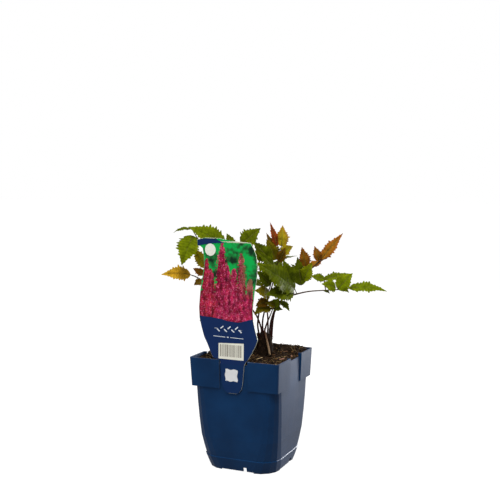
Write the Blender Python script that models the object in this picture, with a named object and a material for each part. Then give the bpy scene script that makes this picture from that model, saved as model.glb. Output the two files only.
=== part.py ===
"""An astilbe in its square nursery pot, with peat, woody crown, compound leaves and a picture label.

Metres, +Z up. The origin is the centre of the pot's foot, on the surface that the pot stands on.
The pot's label side faces -Y. Leaf positions are given in millimetres as (across, away, up), seen by
someone who stands VIEW_TURN round to the right of the label side: across is to their right, away is
away from them, and all three are measured from the origin.
"""

import math

import bmesh
import bpy
from mathutils import Matrix, Vector, noise

MM = 0.001
VIEW_TURN = math.radians(23.9)

# Pot, all in millimetres. The body's half width and corner radius change with height.
POT_HEIGHT = 130.0
WALL = 1.3
CORNER_STEPS = 4
BODY_PROFILE = (
    (0.0, 42.6, 23.5),
    (5.0, 44.2, 23.0),
    (14.6, 46.6, 21.5),
    (15.4, 46.0, 21.5),
    (24.0, 47.4, 20.0),
    (38.0, 49.2, 17.5),
    (58.0, 50.6, 16.0),
    (78.0, 51.5, 14.5),
    (98.0, 52.0, 13.0),
    (POT_HEIGHT, 52.2, 12.0),
)
COLLAR_FOOT = 97.0
COLLAR_HALF_TOP = 55.0
COLLAR_HALF_FOOT = 53.4
COLLAR_CORNER = 2.6
BAY_WIDTH = 35.0
BAY_RIM_DROP = 4.5
FLOOR_UNDERSIDE = 7.0
FLOOR_THICKNESS = 1.6
SKIRT_WALL = 1.8
FOOT_GAP_WIDTH = 40.0
FOOT_GAP_HEIGHT = 1.2
NOTCH_WIDTH = 4.4
NOTCH_HEIGHT = 6.0
NOTCH_OFFSET = 9.7
CENTRE_FOOT_RADIUS = 9.0
DRAIN_RADIUS = 3.0
DRAIN_RING = 26.0
DRAIN_COUNT = 8

# Soil and crown.
FIT_GAP = 0.4
SOIL_LEVEL = 124.6
SOIL_CELLS = 15
# Heaps on the peat: (across, away, rise, spread).
HEAPS = ((13.6, 3.0, 3.2, 24.0), (31.0, 27.0, 7.0, 13.0), (58.0, 26.0, 5.0, 12.0), (-48.0, 6.0, 4.5, 12.0))
CROWN_CENTRE = (13.6, 3.0)
CROWN_RADIUS = 11.4
CROWN_FOOT = 112.0
CROWN_TOP = 152.5
STALK_CLEARANCE = 0.6

# Label.
LABEL_THICKNESS = 0.8
LABEL_PLANE = -52.95
LABEL_NECK = 126.2
LABEL_COLUMNS = 4

# Leaves.
BLADE_THICKNESS = 0.7
PETIOLE_RADIUS = 1.15
RACHIS_TIP_RADIUS = 0.62
PETIOLULE_RADIUS = 0.55
TUBE_SIDES = 5


def to_world(across, away, up):
    """A point of the viewer's (across, away, up), in millimetres, as metres in the pot's frame."""
    cosine, sine = math.cos(VIEW_TURN), math.sin(VIEW_TURN)
    return Vector((across * cosine - away * sine, across * sine + away * cosine, up)) * MM


def new_object(name, bm, material=None):
    """Makes a mesh object from a bmesh, with its faces pointing out."""
    bmesh.ops.recalc_face_normals(bm, faces=bm.faces)
    mesh = bpy.data.meshes.new(name)
    bm.to_mesh(mesh)
    bm.free()
    obj = bpy.data.objects.new(name, mesh)
    bpy.context.scene.collection.objects.link(obj)
    if material:
        mesh.materials.append(material)
    return obj


def make_material(name, colour, roughness, metallic=0.0):
    material = bpy.data.materials.new(name)
    material.use_nodes = True
    shader = material.node_tree.nodes["Principled BSDF"]
    shader.inputs["Base Color"].default_value = (*colour, 1.0)
    shader.inputs["Roughness"].default_value = roughness
    shader.inputs["Metallic"].default_value = metallic
    material.diffuse_color = (*colour, 1.0)
    return material


def boolean(target, other, operation, solver="EXACT"):
    """Applies one Boolean of another object, or of a whole collection, and removes what it used up."""
    modifier = target.modifiers.new("cut", "BOOLEAN")
    modifier.operation = operation
    modifier.solver = solver
    if isinstance(other, bpy.types.Collection):
        modifier.operand_type = "COLLECTION"
        modifier.collection = other
        used = list(other.objects)
    else:
        modifier.object = other
        used = [other]
    graph = bpy.context.evaluated_depsgraph_get()
    made = bpy.data.meshes.new_from_object(target.evaluated_get(graph))
    target.modifiers.clear()
    old = target.data
    target.data = made
    made.name = old.name
    bpy.data.meshes.remove(old)
    for obj in used:
        bpy.data.objects.remove(obj)
    if isinstance(other, bpy.types.Collection):
        bpy.data.collections.remove(other)


def smooth(obj, angle=35.0):
    obj.data.shade_smooth()
    obj.data.set_sharp_from_angle(angle=math.radians(angle))


def rounded_square(half, radius):
    """Points of a rounded square, anticlockwise from the +X side, in millimetres."""
    points = []
    for quarter in range(4):
        start = quarter * math.pi / 2
        corner = Vector((half - radius, 0.0)).length
        centre_angle = start + math.pi / 4
        centre = Vector((math.cos(centre_angle), math.sin(centre_angle))) * corner * math.sqrt(2)
        for step in range(CORNER_STEPS + 1):
            angle = start + step / CORNER_STEPS * math.pi / 2
            points.append((centre.x + radius * math.cos(angle), centre.y + radius * math.sin(angle)))
    return points


def loft(name, rings, material=None):
    """A closed solid through rings of (height, half width, corner radius), in millimetres."""
    bm = bmesh.new()
    loops = []
    for height, half, radius in rings:
        outline = rounded_square(half, radius)
        loops.append([bm.verts.new((x * MM, y * MM, height * MM)) for x, y in outline])
    for lower, upper in zip(loops, loops[1:]):
        for i in range(len(lower)):
            j = (i + 1) % len(lower)
            bm.faces.new((lower[i], lower[j], upper[j], upper[i]))
    bm.faces.new(loops[0])
    bm.faces.new(loops[-1])
    return new_object(name, bm, material)


def block(name, low, high):
    """A plain box between two corners, in millimetres."""
    bm = bmesh.new()
    bmesh.ops.create_cube(bm, size=1.0)
    low, high = Vector(low), Vector(high)
    for vert in bm.verts:
        vert.co = Vector([low[i] + (vert.co[i] + 0.5) * (high[i] - low[i]) for i in range(3)]) * MM
    return new_object(name, bm)


def cylinder(name, centre, radius, low, high, sides=16):
    """An upright cylinder, in millimetres."""
    bm = bmesh.new()
    bmesh.ops.create_cone(
        bm, cap_ends=True, segments=sides, radius1=radius * MM, radius2=radius * MM, depth=(high - low) * MM
    )
    bmesh.ops.translate(bm, verts=bm.verts, vec=Vector((centre[0], centre[1], (low + high) / 2)) * MM)
    return new_object(name, bm)


def quarter_turn(obj, quarter):
    obj.data.transform(Matrix.Rotation(quarter * math.pi / 2, 4, "Z"))


def body_size(height):
    """The body's half width and corner radius at a height, in millimetres."""
    for (z0, h0, r0), (z1, h1, r1) in zip(BODY_PROFILE, BODY_PROFILE[1:]):
        if z0 <= height <= z1:
            share = (height - z0) / (z1 - z0)
            return h0 + (h1 - h0) * share, r0 + (r1 - r0) * share
    return BODY_PROFILE[-1][1:]


def body_half(height):
    return body_size(height)[0]


def bay_blocks(name, width, face, low, high):
    """Four blocks that fill the label bays of the collar, one in the middle of each side."""
    blocks = []
    for quarter in range(4):
        bay = block(f"{name}_{quarter}", (-width / 2, -60.0, low), (width / 2, -face, high))
        quarter_turn(bay, quarter)
        blocks.append(bay)
    return blocks


def cavity(name, inset):
    """The pot's inside shape, shrunk by inset: the body's taper, and the collar's wider mouth between the bays."""
    inner = WALL + inset
    floor = FLOOR_UNDERSIDE + FLOOR_THICKNESS + inset
    rings = [(floor, body_size(floor)[0] - inner, body_size(floor)[1] - inner)]
    rings += [(z, h - inner, r - inner) for z, h, r in BODY_PROFILE if z > 20.0]
    rings[-1] = (POT_HEIGHT + 6.0, rings[-1][1], rings[-1][2])
    solid = loft(name, rings)
    step = COLLAR_FOOT + WALL + inset
    mouth = loft(
        f"{name}_mouth",
        [
            (step, COLLAR_HALF_FOOT - inner, COLLAR_CORNER),
            (POT_HEIGHT + 5.0, COLLAR_HALF_TOP + 0.2 - inner, COLLAR_CORNER),
        ],
    )
    for bay in bay_blocks(f"{name}_bay", BAY_WIDTH + 2 * inner, body_half(step) - inner, 90.0, 140.0):
        boolean(mouth, bay, "DIFFERENCE")
    boolean(solid, mouth, "UNION")
    return solid


def make_pot(material):
    """The moulded pot: tapered body, stepped collar with label bays, raised floor, feet and drains."""
    pot = loft("pot", BODY_PROFILE, material)
    collar = loft(
        "collar",
        [
            (COLLAR_FOOT, COLLAR_HALF_FOOT, COLLAR_CORNER),
            (POT_HEIGHT, COLLAR_HALF_TOP, COLLAR_CORNER),
        ],
    )
    for bay in bay_blocks("bay", BAY_WIDTH, body_half(COLLAR_FOOT) + 0.1, 90.0, 140.0):
        boolean(collar, bay, "DIFFERENCE")
    boolean(pot, collar, "UNION")
    boolean(pot, cavity("inside", 0.0), "DIFFERENCE")
    drop = POT_HEIGHT - BAY_RIM_DROP
    for quarter in range(4):
        lowered = block("rim_cut", (-BAY_WIDTH / 2, -60.0, drop), (BAY_WIDTH / 2, -40.0, 140.0))
        quarter_turn(lowered, quarter)
        boolean(pot, lowered, "DIFFERENCE")
    underside = loft(
        "underside",
        [
            (-2.0, BODY_PROFILE[0][1] - SKIRT_WALL, BODY_PROFILE[0][2] - SKIRT_WALL),
            (FLOOR_UNDERSIDE, body_size(FLOOR_UNDERSIDE)[0] - SKIRT_WALL, body_size(FLOOR_UNDERSIDE)[1] - SKIRT_WALL),
        ],
    )
    foot = cylinder("centre_foot", (0.0, 0.0), CENTRE_FOOT_RADIUS, -5.0, 10.0, sides=16)
    boolean(underside, foot, "DIFFERENCE")
    boolean(pot, underside, "DIFFERENCE")
    for quarter in range(4):
        gap = block(
            "foot_gap", (-FOOT_GAP_WIDTH / 2, -60.0, -2.0), (FOOT_GAP_WIDTH / 2, -30.0, FOOT_GAP_HEIGHT)
        )
        quarter_turn(gap, quarter)
        boolean(pot, gap, "DIFFERENCE")
        notch = block(
            "notch",
            (NOTCH_OFFSET - NOTCH_WIDTH / 2, -60.0, -2.0),
            (NOTCH_OFFSET + NOTCH_WIDTH / 2, -30.0, NOTCH_HEIGHT),
        )
        quarter_turn(notch, quarter)
        boolean(pot, notch, "DIFFERENCE")
    for index in range(DRAIN_COUNT):
        angle = (index + 0.5) * 2 * math.pi / DRAIN_COUNT
        centre = (DRAIN_RING * math.cos(angle), DRAIN_RING * math.sin(angle))
        drain = cylinder("drain", centre, DRAIN_RADIUS, 4.0, 14.0, sides=8)
        boolean(pot, drain, "DIFFERENCE")
    smooth(pot)
    return pot


def soil_height(x, y):
    """The peat's rough surface: level near the walls, heaped round the crown, behind it and in two corners."""
    heap = 0.0
    for across, away, rise, spread in HEAPS:
        top = to_world(across, away, 0.0) / MM
        heap += rise * math.exp(-((x - top.x) ** 2 + (y - top.y) ** 2) / (2 * spread**2))
    lumps = noise.noise(Vector((x, y, 3.0)) / 13.0) * 2.2 + noise.noise(Vector((x, y, 9.0)) / 5.5) * 1.5
    return SOIL_LEVEL + heap + lumps


def make_soil(material):
    """The peat that fills the pot, cut to a rough surface, with plain pockets for the crown and label."""
    soil = cavity("soil", FIT_GAP)
    soil.data.materials.append(material)
    half = 62.0
    bm = bmesh.new()
    cell = 2 * half / SOIL_CELLS
    grid = []
    for i in range(SOIL_CELLS + 1):
        row = []
        for j in range(SOIL_CELLS + 1):
            x, y = -half + i * cell, -half + j * cell
            row.append(bm.verts.new(Vector((x, y, soil_height(x, y))) * MM))
        grid.append(row)
    for i in range(SOIL_CELLS):
        for j in range(SOIL_CELLS):
            bm.faces.new((grid[i][j], grid[i + 1][j], grid[i + 1][j + 1]))
            bm.faces.new((grid[i][j], grid[i + 1][j + 1], grid[i][j + 1]))
    rim = [e for e in bm.edges if e.is_boundary]
    raised = bmesh.ops.extrude_edge_only(bm, edges=rim)["geom"]
    top = [v for v in raised if isinstance(v, bmesh.types.BMVert)]
    for vert in top:
        vert.co.z = 150.0 * MM
    bmesh.ops.contextual_create(bm, geom=[e for e in bm.edges if e.is_boundary])
    above = new_object("above_soil", bm)
    boolean(soil, above, "DIFFERENCE")
    crown = to_world(*CROWN_CENTRE, 0.0) / MM
    pocket = cylinder("pocket", crown, CROWN_RADIUS + 0.6, CROWN_FOOT - FIT_GAP, 150.0, sides=20)
    boolean(soil, pocket, "DIFFERENCE")
    leg = block("leg_slot", (-11.0, -56.0, 108.5), (11.0, -49.2, 150.0))
    boolean(soil, leg, "DIFFERENCE")
    return soil


def make_crown(material, fronds):
    """The woody crown: a lumpy knob with the stubs of old stems, and a plain hole for each leaf stalk."""
    centre = to_world(*CROWN_CENTRE, 0.0) / MM
    profile = ((CROWN_FOOT, 0.72), (119.0, 0.92), (128.0, 1.0), (137.0, 0.97), (145.0, 0.96), (150.5, 0.86))
    sides = 12
    bm = bmesh.new()
    loops = []
    for level, (height, share) in enumerate(profile):
        loop = []
        for i in range(sides):
            angle = 2 * math.pi * (i + 0.5 * (level % 2)) / sides
            x, y = math.cos(angle), math.sin(angle)
            lump = 0.9 + 0.1 * noise.noise(Vector((x * 2.2, y * 2.2, height / 5.0)))
            radius = CROWN_RADIUS * share * lump
            loop.append(bm.verts.new(Vector((centre.x + x * radius, centre.y + y * radius, height)) * MM))
        loops.append(loop)
    for lower, upper in zip(loops, loops[1:]):
        for i in range(sides):
            j = (i + 1) % sides
            bm.faces.new((lower[i], lower[j], upper[i]))
            bm.faces.new((lower[j], upper[j], upper[i]))
    bm.faces.new(loops[0])
    tip = bm.verts.new(Vector((centre.x, centre.y, CROWN_TOP)) * MM)
    for i in range(sides):
        bm.faces.new((loops[-1][i], loops[-1][(i + 1) % sides], tip))
    crown = new_object("crown", bm, material)
    stubs = bpy.data.collections.new("stubs")
    bpy.context.scene.collection.children.link(stubs)
    for angle, lean, length, radius in OLD_STUBS:
        reach = Vector((math.cos(angle), math.sin(angle), 0.0))
        foot = Vector((centre.x, centre.y, 145.0)) + reach * 8.4
        head = Vector((centre.x, centre.y, 145.0)) + reach * (8.4 + lean) + Vector((0.0, 0.0, length))
        stub = tube("stub", [foot * MM, head * MM], [radius, radius * 0.8], sides=6)
        move_to(stub, stubs)
    boolean(crown, stubs, "UNION")
    for frond in fronds:
        low, high = (to_world(*p) for p in frond["stalk"][:2])
        along = (high - low).normalized()
        start = low - along * FIT_GAP * MM
        radius = frond.get("stalk_radius", PETIOLE_RADIUS) + STALK_CLEARANCE
        hole = tube("hole", [start, start + along * 0.032], [radius] * 2, sides=8)
        boolean(crown, hole, "DIFFERENCE")
    return crown


def move_to(obj, collection):
    for held in obj.users_collection:
        held.objects.unlink(obj)
    collection.objects.link(obj)


def tube(name, points, radii, sides=TUBE_SIDES, material=None):
    """A closed tube through points in metres, with radii in millimetres."""
    bm = bmesh.new()
    loops = []
    side = None
    for i, point in enumerate(points):
        before, after = points[max(0, i - 1)], points[min(len(points) - 1, i + 1)]
        along = (after - before).normalized()
        if side is None:
            side = along.orthogonal().normalized()
        side = (side - along * side.dot(along)).normalized()
        other = along.cross(side)
        loop = []
        for k in range(sides):
            angle = 2 * math.pi * k / sides
            offset = side * math.cos(angle) + other * math.sin(angle)
            loop.append(bm.verts.new(point + offset * radii[i] * MM))
        loops.append(loop)
    for lower, upper in zip(loops, loops[1:]):
        for k in range(sides):
            m = (k + 1) % sides
            bm.faces.new((lower[k], lower[m], upper[m], upper[k]))
    bm.faces.new(loops[0])
    bm.faces.new(loops[-1])
    return new_object(name, bm, material)


def half_width(share):
    """A leaflet's half width at a share of its length, as a share of its greatest: oval with a drawn-out tip."""
    oval = math.sin(math.pi * share**0.72) ** 0.85 if 0 < share < 1 else 0.0
    drawn = 1.0 - 0.42 * max(0.0, (share - 0.55) / 0.45) ** 0.8
    return oval * drawn


def blade_frame(base, tip, tilt):
    """(along, side, face) of a blade. A tilt of 0 faces the sky, 90 the viewer and -90 away from them."""
    along = tip - base
    turned = math.radians(tilt)
    towards = to_world(0.0, -1.0, 0.0).normalized()
    face = Vector((0.0, 0.0, 1.0)) * math.cos(turned) + towards * math.sin(turned)
    unit = along.normalized()
    face = (face - unit * face.dot(unit)).normalized()
    return along, unit.cross(face), face


def blade_point(base, frame, share, sideways, width, arch, fold, wave):
    """A point of the blade's middle surface. sideways is in metres, from the midrib."""
    along, side, face = frame
    length = along.length
    lift = arch * length * 4 * share * (1 - share)
    lift += abs(sideways) * fold
    ripple = math.sin(share * 17.0 + (1.3 if sideways > 0 else 0.0)) * wave * abs(sideways) / max(width, 1e-6)
    return base + along * share + side * sideways + face * (lift + ripple * length)


def make_blade(name, base, tip, width, tilt, arch, fold=0.16, wave=0.02):
    """One toothed leaflet as a thin closed solid, split into triangles alike on both faces."""
    base, tip = to_world(*base), to_world(*tip)
    frame = blade_frame(base, tip, tilt)
    length = frame[0].length
    teeth = 5 if length > 0.032 else 4 if length > 0.0145 else 3
    half = width * MM / 2
    depth = 0.2
    reach = 0.62

    def rim(share):
        return half * half_width(share)

    notches = [0.04 + 0.9 * k / teeth for k in range(teeth + 1)]
    ribs = [blade_point(base, frame, s, 0.0, half, arch, fold, wave) for s in notches]
    tip_point = blade_point(base, frame, 1.0, 0.0, half, arch, fold, wave)
    sides = {}
    for sign in (-1, 1):
        edge = [
            blade_point(base, frame, s, sign * max(0.0006, rim(s) * (1 - depth)), half, arch, fold, wave)
            for s in notches
        ]
        points = []
        for k in range(teeth):
            at = notches[k] + (notches[k + 1] - notches[k]) * reach
            out = rim(notches[k] + (notches[k + 1] - notches[k]) * 0.35) * (1 + depth * 0.55)
            points.append(blade_point(base, frame, at, sign * max(0.0009, out), half, arch, fold, wave))
        sides[sign] = (edge, points)
    triangles = []
    for sign in (-1, 1):
        edge, points = sides[sign]
        for k in range(teeth):
            fan = [
                (ribs[k], edge[k], points[k]),
                (ribs[k], points[k], ribs[k + 1]),
                (ribs[k + 1], points[k], edge[k + 1]),
            ]
            triangles += [t if sign > 0 else t[::-1] for t in fan]
        last = (ribs[-1], edge[-1], tip_point)
        triangles.append(last if sign > 0 else last[::-1])
    outline_left, outline_right = [], []
    for k in range(teeth):
        outline_left += [sides[1][0][k], sides[1][1][k]]
        outline_right += [sides[-1][0][k], sides[-1][1][k]]
    rim_loop = [ribs[0]] + outline_left + [sides[1][0][-1], tip_point]
    rim_loop += [sides[-1][0][-1]] + outline_right[::-1]
    return thick_sheet(name, triangles, rim_loop, frame[2], BLADE_THICKNESS)


def thick_sheet(name, triangles, rim_loop, face, thickness):
    """Closes a sheet of triangles into a solid by moving a copy to each side along one direction."""
    bm = bmesh.new()
    shift = face * thickness * MM / 2
    made = {}

    def vert(point, side):
        key = (tuple(round(c, 9) for c in point), side)
        if key not in made:
            made[key] = bm.verts.new(point + shift * side)
        return made[key]

    for a, b, c in triangles:
        bm.faces.new([vert(p, 1) for p in (a, b, c)])
        bm.faces.new([vert(p, -1) for p in (c, b, a)])
    for p, q in zip(rim_loop, rim_loop[1:] + rim_loop[:1]):
        bm.faces.new((vert(p, 1), vert(p, -1), vert(q, -1)))
        bm.faces.new((vert(p, 1), vert(q, -1), vert(q, 1)))
    return new_object(name, bm)


def smooth_path(points, per_span=3):
    """Points on a smooth curve through the given ones."""
    path = []
    for i in range(len(points) - 1):
        p0 = points[max(0, i - 1)]
        p1, p2 = points[i], points[i + 1]
        p3 = points[min(len(points) - 1, i + 2)]
        for k in range(per_span):
            t = k / per_span
            path.append(
                0.5
                * (
                    2 * p1
                    + (p2 - p0) * t
                    + (2 * p0 - 5 * p1 + 4 * p2 - p3) * t**2
                    + (3 * p1 - p0 - 3 * p2 + p3) * t**3
                )
            )
    path.append(points[-1])
    return path


def make_frond(name, frond, material):
    """One compound leaf: stalk, side stalks and toothed leaflets, joined into one body."""
    knots = [to_world(*p) for p in frond["stalk"]]
    path = [knots[0]] + smooth_path(knots[1:], per_span=1 if len(knots) > 6 else 2)
    count = len(path) - 1
    thick = frond.get("stalk_radius", PETIOLE_RADIUS)
    radii = [thick + (RACHIS_TIP_RADIUS - thick) * min(1.0, i / count * 1.15) for i in range(count + 1)]
    stalk = tube(name, path, radii, material=material)
    pieces = bpy.data.collections.new(f"{name}_pieces")
    bpy.context.scene.collection.children.link(pieces)
    for index, row in enumerate(frond["leaflets"]):
        base, tip, width, tilt, arch = row
        blade = make_blade(f"{name}_blade_{index}", base, tip, width, tilt, arch)
        move_to(blade, pieces)
        foot, end = to_world(*base), to_world(*tip)
        frame = blade_frame(foot, end, tilt)
        joint = min(path[1:], key=lambda p: (p - foot).length)
        rib = [blade_point(foot, frame, s, 0.0, width * MM, arch, 0.16, 0.0) for s in (0.02, 0.18)]
        line = [joint] + rib if (joint - rib[0]).length > 0.0018 else [joint, rib[1]]
        sizes = [PETIOLULE_RADIUS] * (len(line) - 1) + [0.45]
        move_to(tube(f"{name}_rib_{index}", line, sizes, sides=4), pieces)
    return weld(stalk, pieces)


def weld(stalk, pieces):
    """Joins a leaf's pieces, with the other solver where the first leaves an open edge."""
    spare = stalk.data.copy()
    kept = [piece.data.copy() for piece in pieces.objects]
    boolean(stalk, pieces, "UNION")
    if not is_closed(stalk.data):
        stalk.data = spare
        again = bpy.data.collections.new("again")
        bpy.context.scene.collection.children.link(again)
        for mesh in kept:
            again.objects.link(bpy.data.objects.new(mesh.name, mesh))
        boolean(stalk, again, "UNION", solver="MANIFOLD")
    return stalk


def is_closed(mesh):
    bm = bmesh.new()
    bm.from_mesh(mesh)
    closed = bool(bm.faces) and all(edge.is_manifold for edge in bm.edges)
    bm.free()
    return closed


def make_label(material):
    """The picture label: a tall card over the rim, its tongue in front of the bay, and a short leg inside."""
    bm = bmesh.new()
    faces = []
    for height, left, right in LABEL_EDGES:
        row = []
        for column in range(LABEL_COLUMNS + 1):
            x = left + (right - left) * column / LABEL_COLUMNS
            row.append(Vector((x, label_depth(x, height), height)))
        faces.append(row)
    half = LABEL_THICKNESS / 2
    layers = []
    for side in (-1, 1):
        layers.append([[bm.verts.new((p + Vector((0.0, half * side, 0.0))) * MM) for p in row] for row in faces])
    front, back = layers
    rows, columns = len(faces), LABEL_COLUMNS + 1
    for i in range(rows - 1):
        for j in range(columns - 1):
            for layer in (front, back):
                bm.faces.new((layer[i][j], layer[i][j + 1], layer[i + 1][j + 1]))
                bm.faces.new((layer[i][j], layer[i + 1][j + 1], layer[i + 1][j]))
    loop = [(0, j) for j in range(columns)]
    loop += [(i, columns - 1) for i in range(1, rows)]
    loop += [(rows - 1, j) for j in range(columns - 2, -1, -1)]
    loop += [(i, 0) for i in range(rows - 2, 0, -1)]
    for (a, b), (c, d) in zip(loop, loop[1:] + loop[:1]):
        bm.faces.new((front[a][b], back[a][b], back[c][d], front[c][d]))
    label = new_object("label", bm, material)
    bridge = block("bridge", (-10.5, LABEL_PLANE - 0.3, LABEL_NECK - 0.4), (10.5, -49.6, LABEL_NECK + 0.5))
    boolean(label, bridge, "UNION")
    leg = block("leg", (-10.4, -50.45, 109.0), (10.4, -49.65, LABEL_NECK + 0.3))
    boolean(label, leg, "UNION")
    return label


def label_depth(x, height):
    """Where the card lies in depth: upright at the tongue, leaning back and slightly bowed above the rim."""
    above = max(0.0, height - LABEL_NECK - 3.0)
    share = min(1.0, above / 135.0)
    bow = 3.0 * share * (1.0 - ((x + 16.0 * share) / 32.0) ** 2)
    return LABEL_PLANE + 5.0 * share - bow


# Label outline rows: (height, left edge, right edge), from the tongue's foot to the curved top.
LABEL_EDGES = (
    (92.6, -5.5, 3.5),
    (94.0, -9.2, 6.6),
    (98.0, -12.8, 9.8),
    (104.0, -14.6, 11.2),
    (114.0, -15.4, 12.2),
    (125.6, -16.2, 13.2),
    (130.1, -16.8, 15.8),
    (131.4, -25.2, 17.4),
    (139.7, -29.5, 22.2),
    (147.0, -32.8, 26.2),
    (154.5, -37.0, 29.2),
    (166.0, -40.8, 25.8),
    (176.0, -43.3, 23.4),
    (188.0, -44.1, 22.5),
    (208.0, -42.5, 24.4),
    (222.0, -39.8, 26.7),
    (236.0, -37.4, 26.8),
    (247.5, -38.2, 25.5),
    (255.5, -39.8, 22.4),
    (258.5, -46.2, 20.6),
    (262.1, -46.8, 18.5),
    (264.6, -47.4, -9.5),
    (266.6, -36.0, -17.0),
)

OLD_STUBS = ((0.4, 1.0, 9.0, 1.3), (2.3, 2.0, 7.0, 1.5), (4.0, 0.5, 8.0, 1.2), (5.3, 2.2, 6.0, 1.4))

GREEN = (0.1, 0.17, 0.02)
BRONZE = (0.28, 0.1, 0.02)
DARK = (0.05, 0.085, 0.015)

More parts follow.
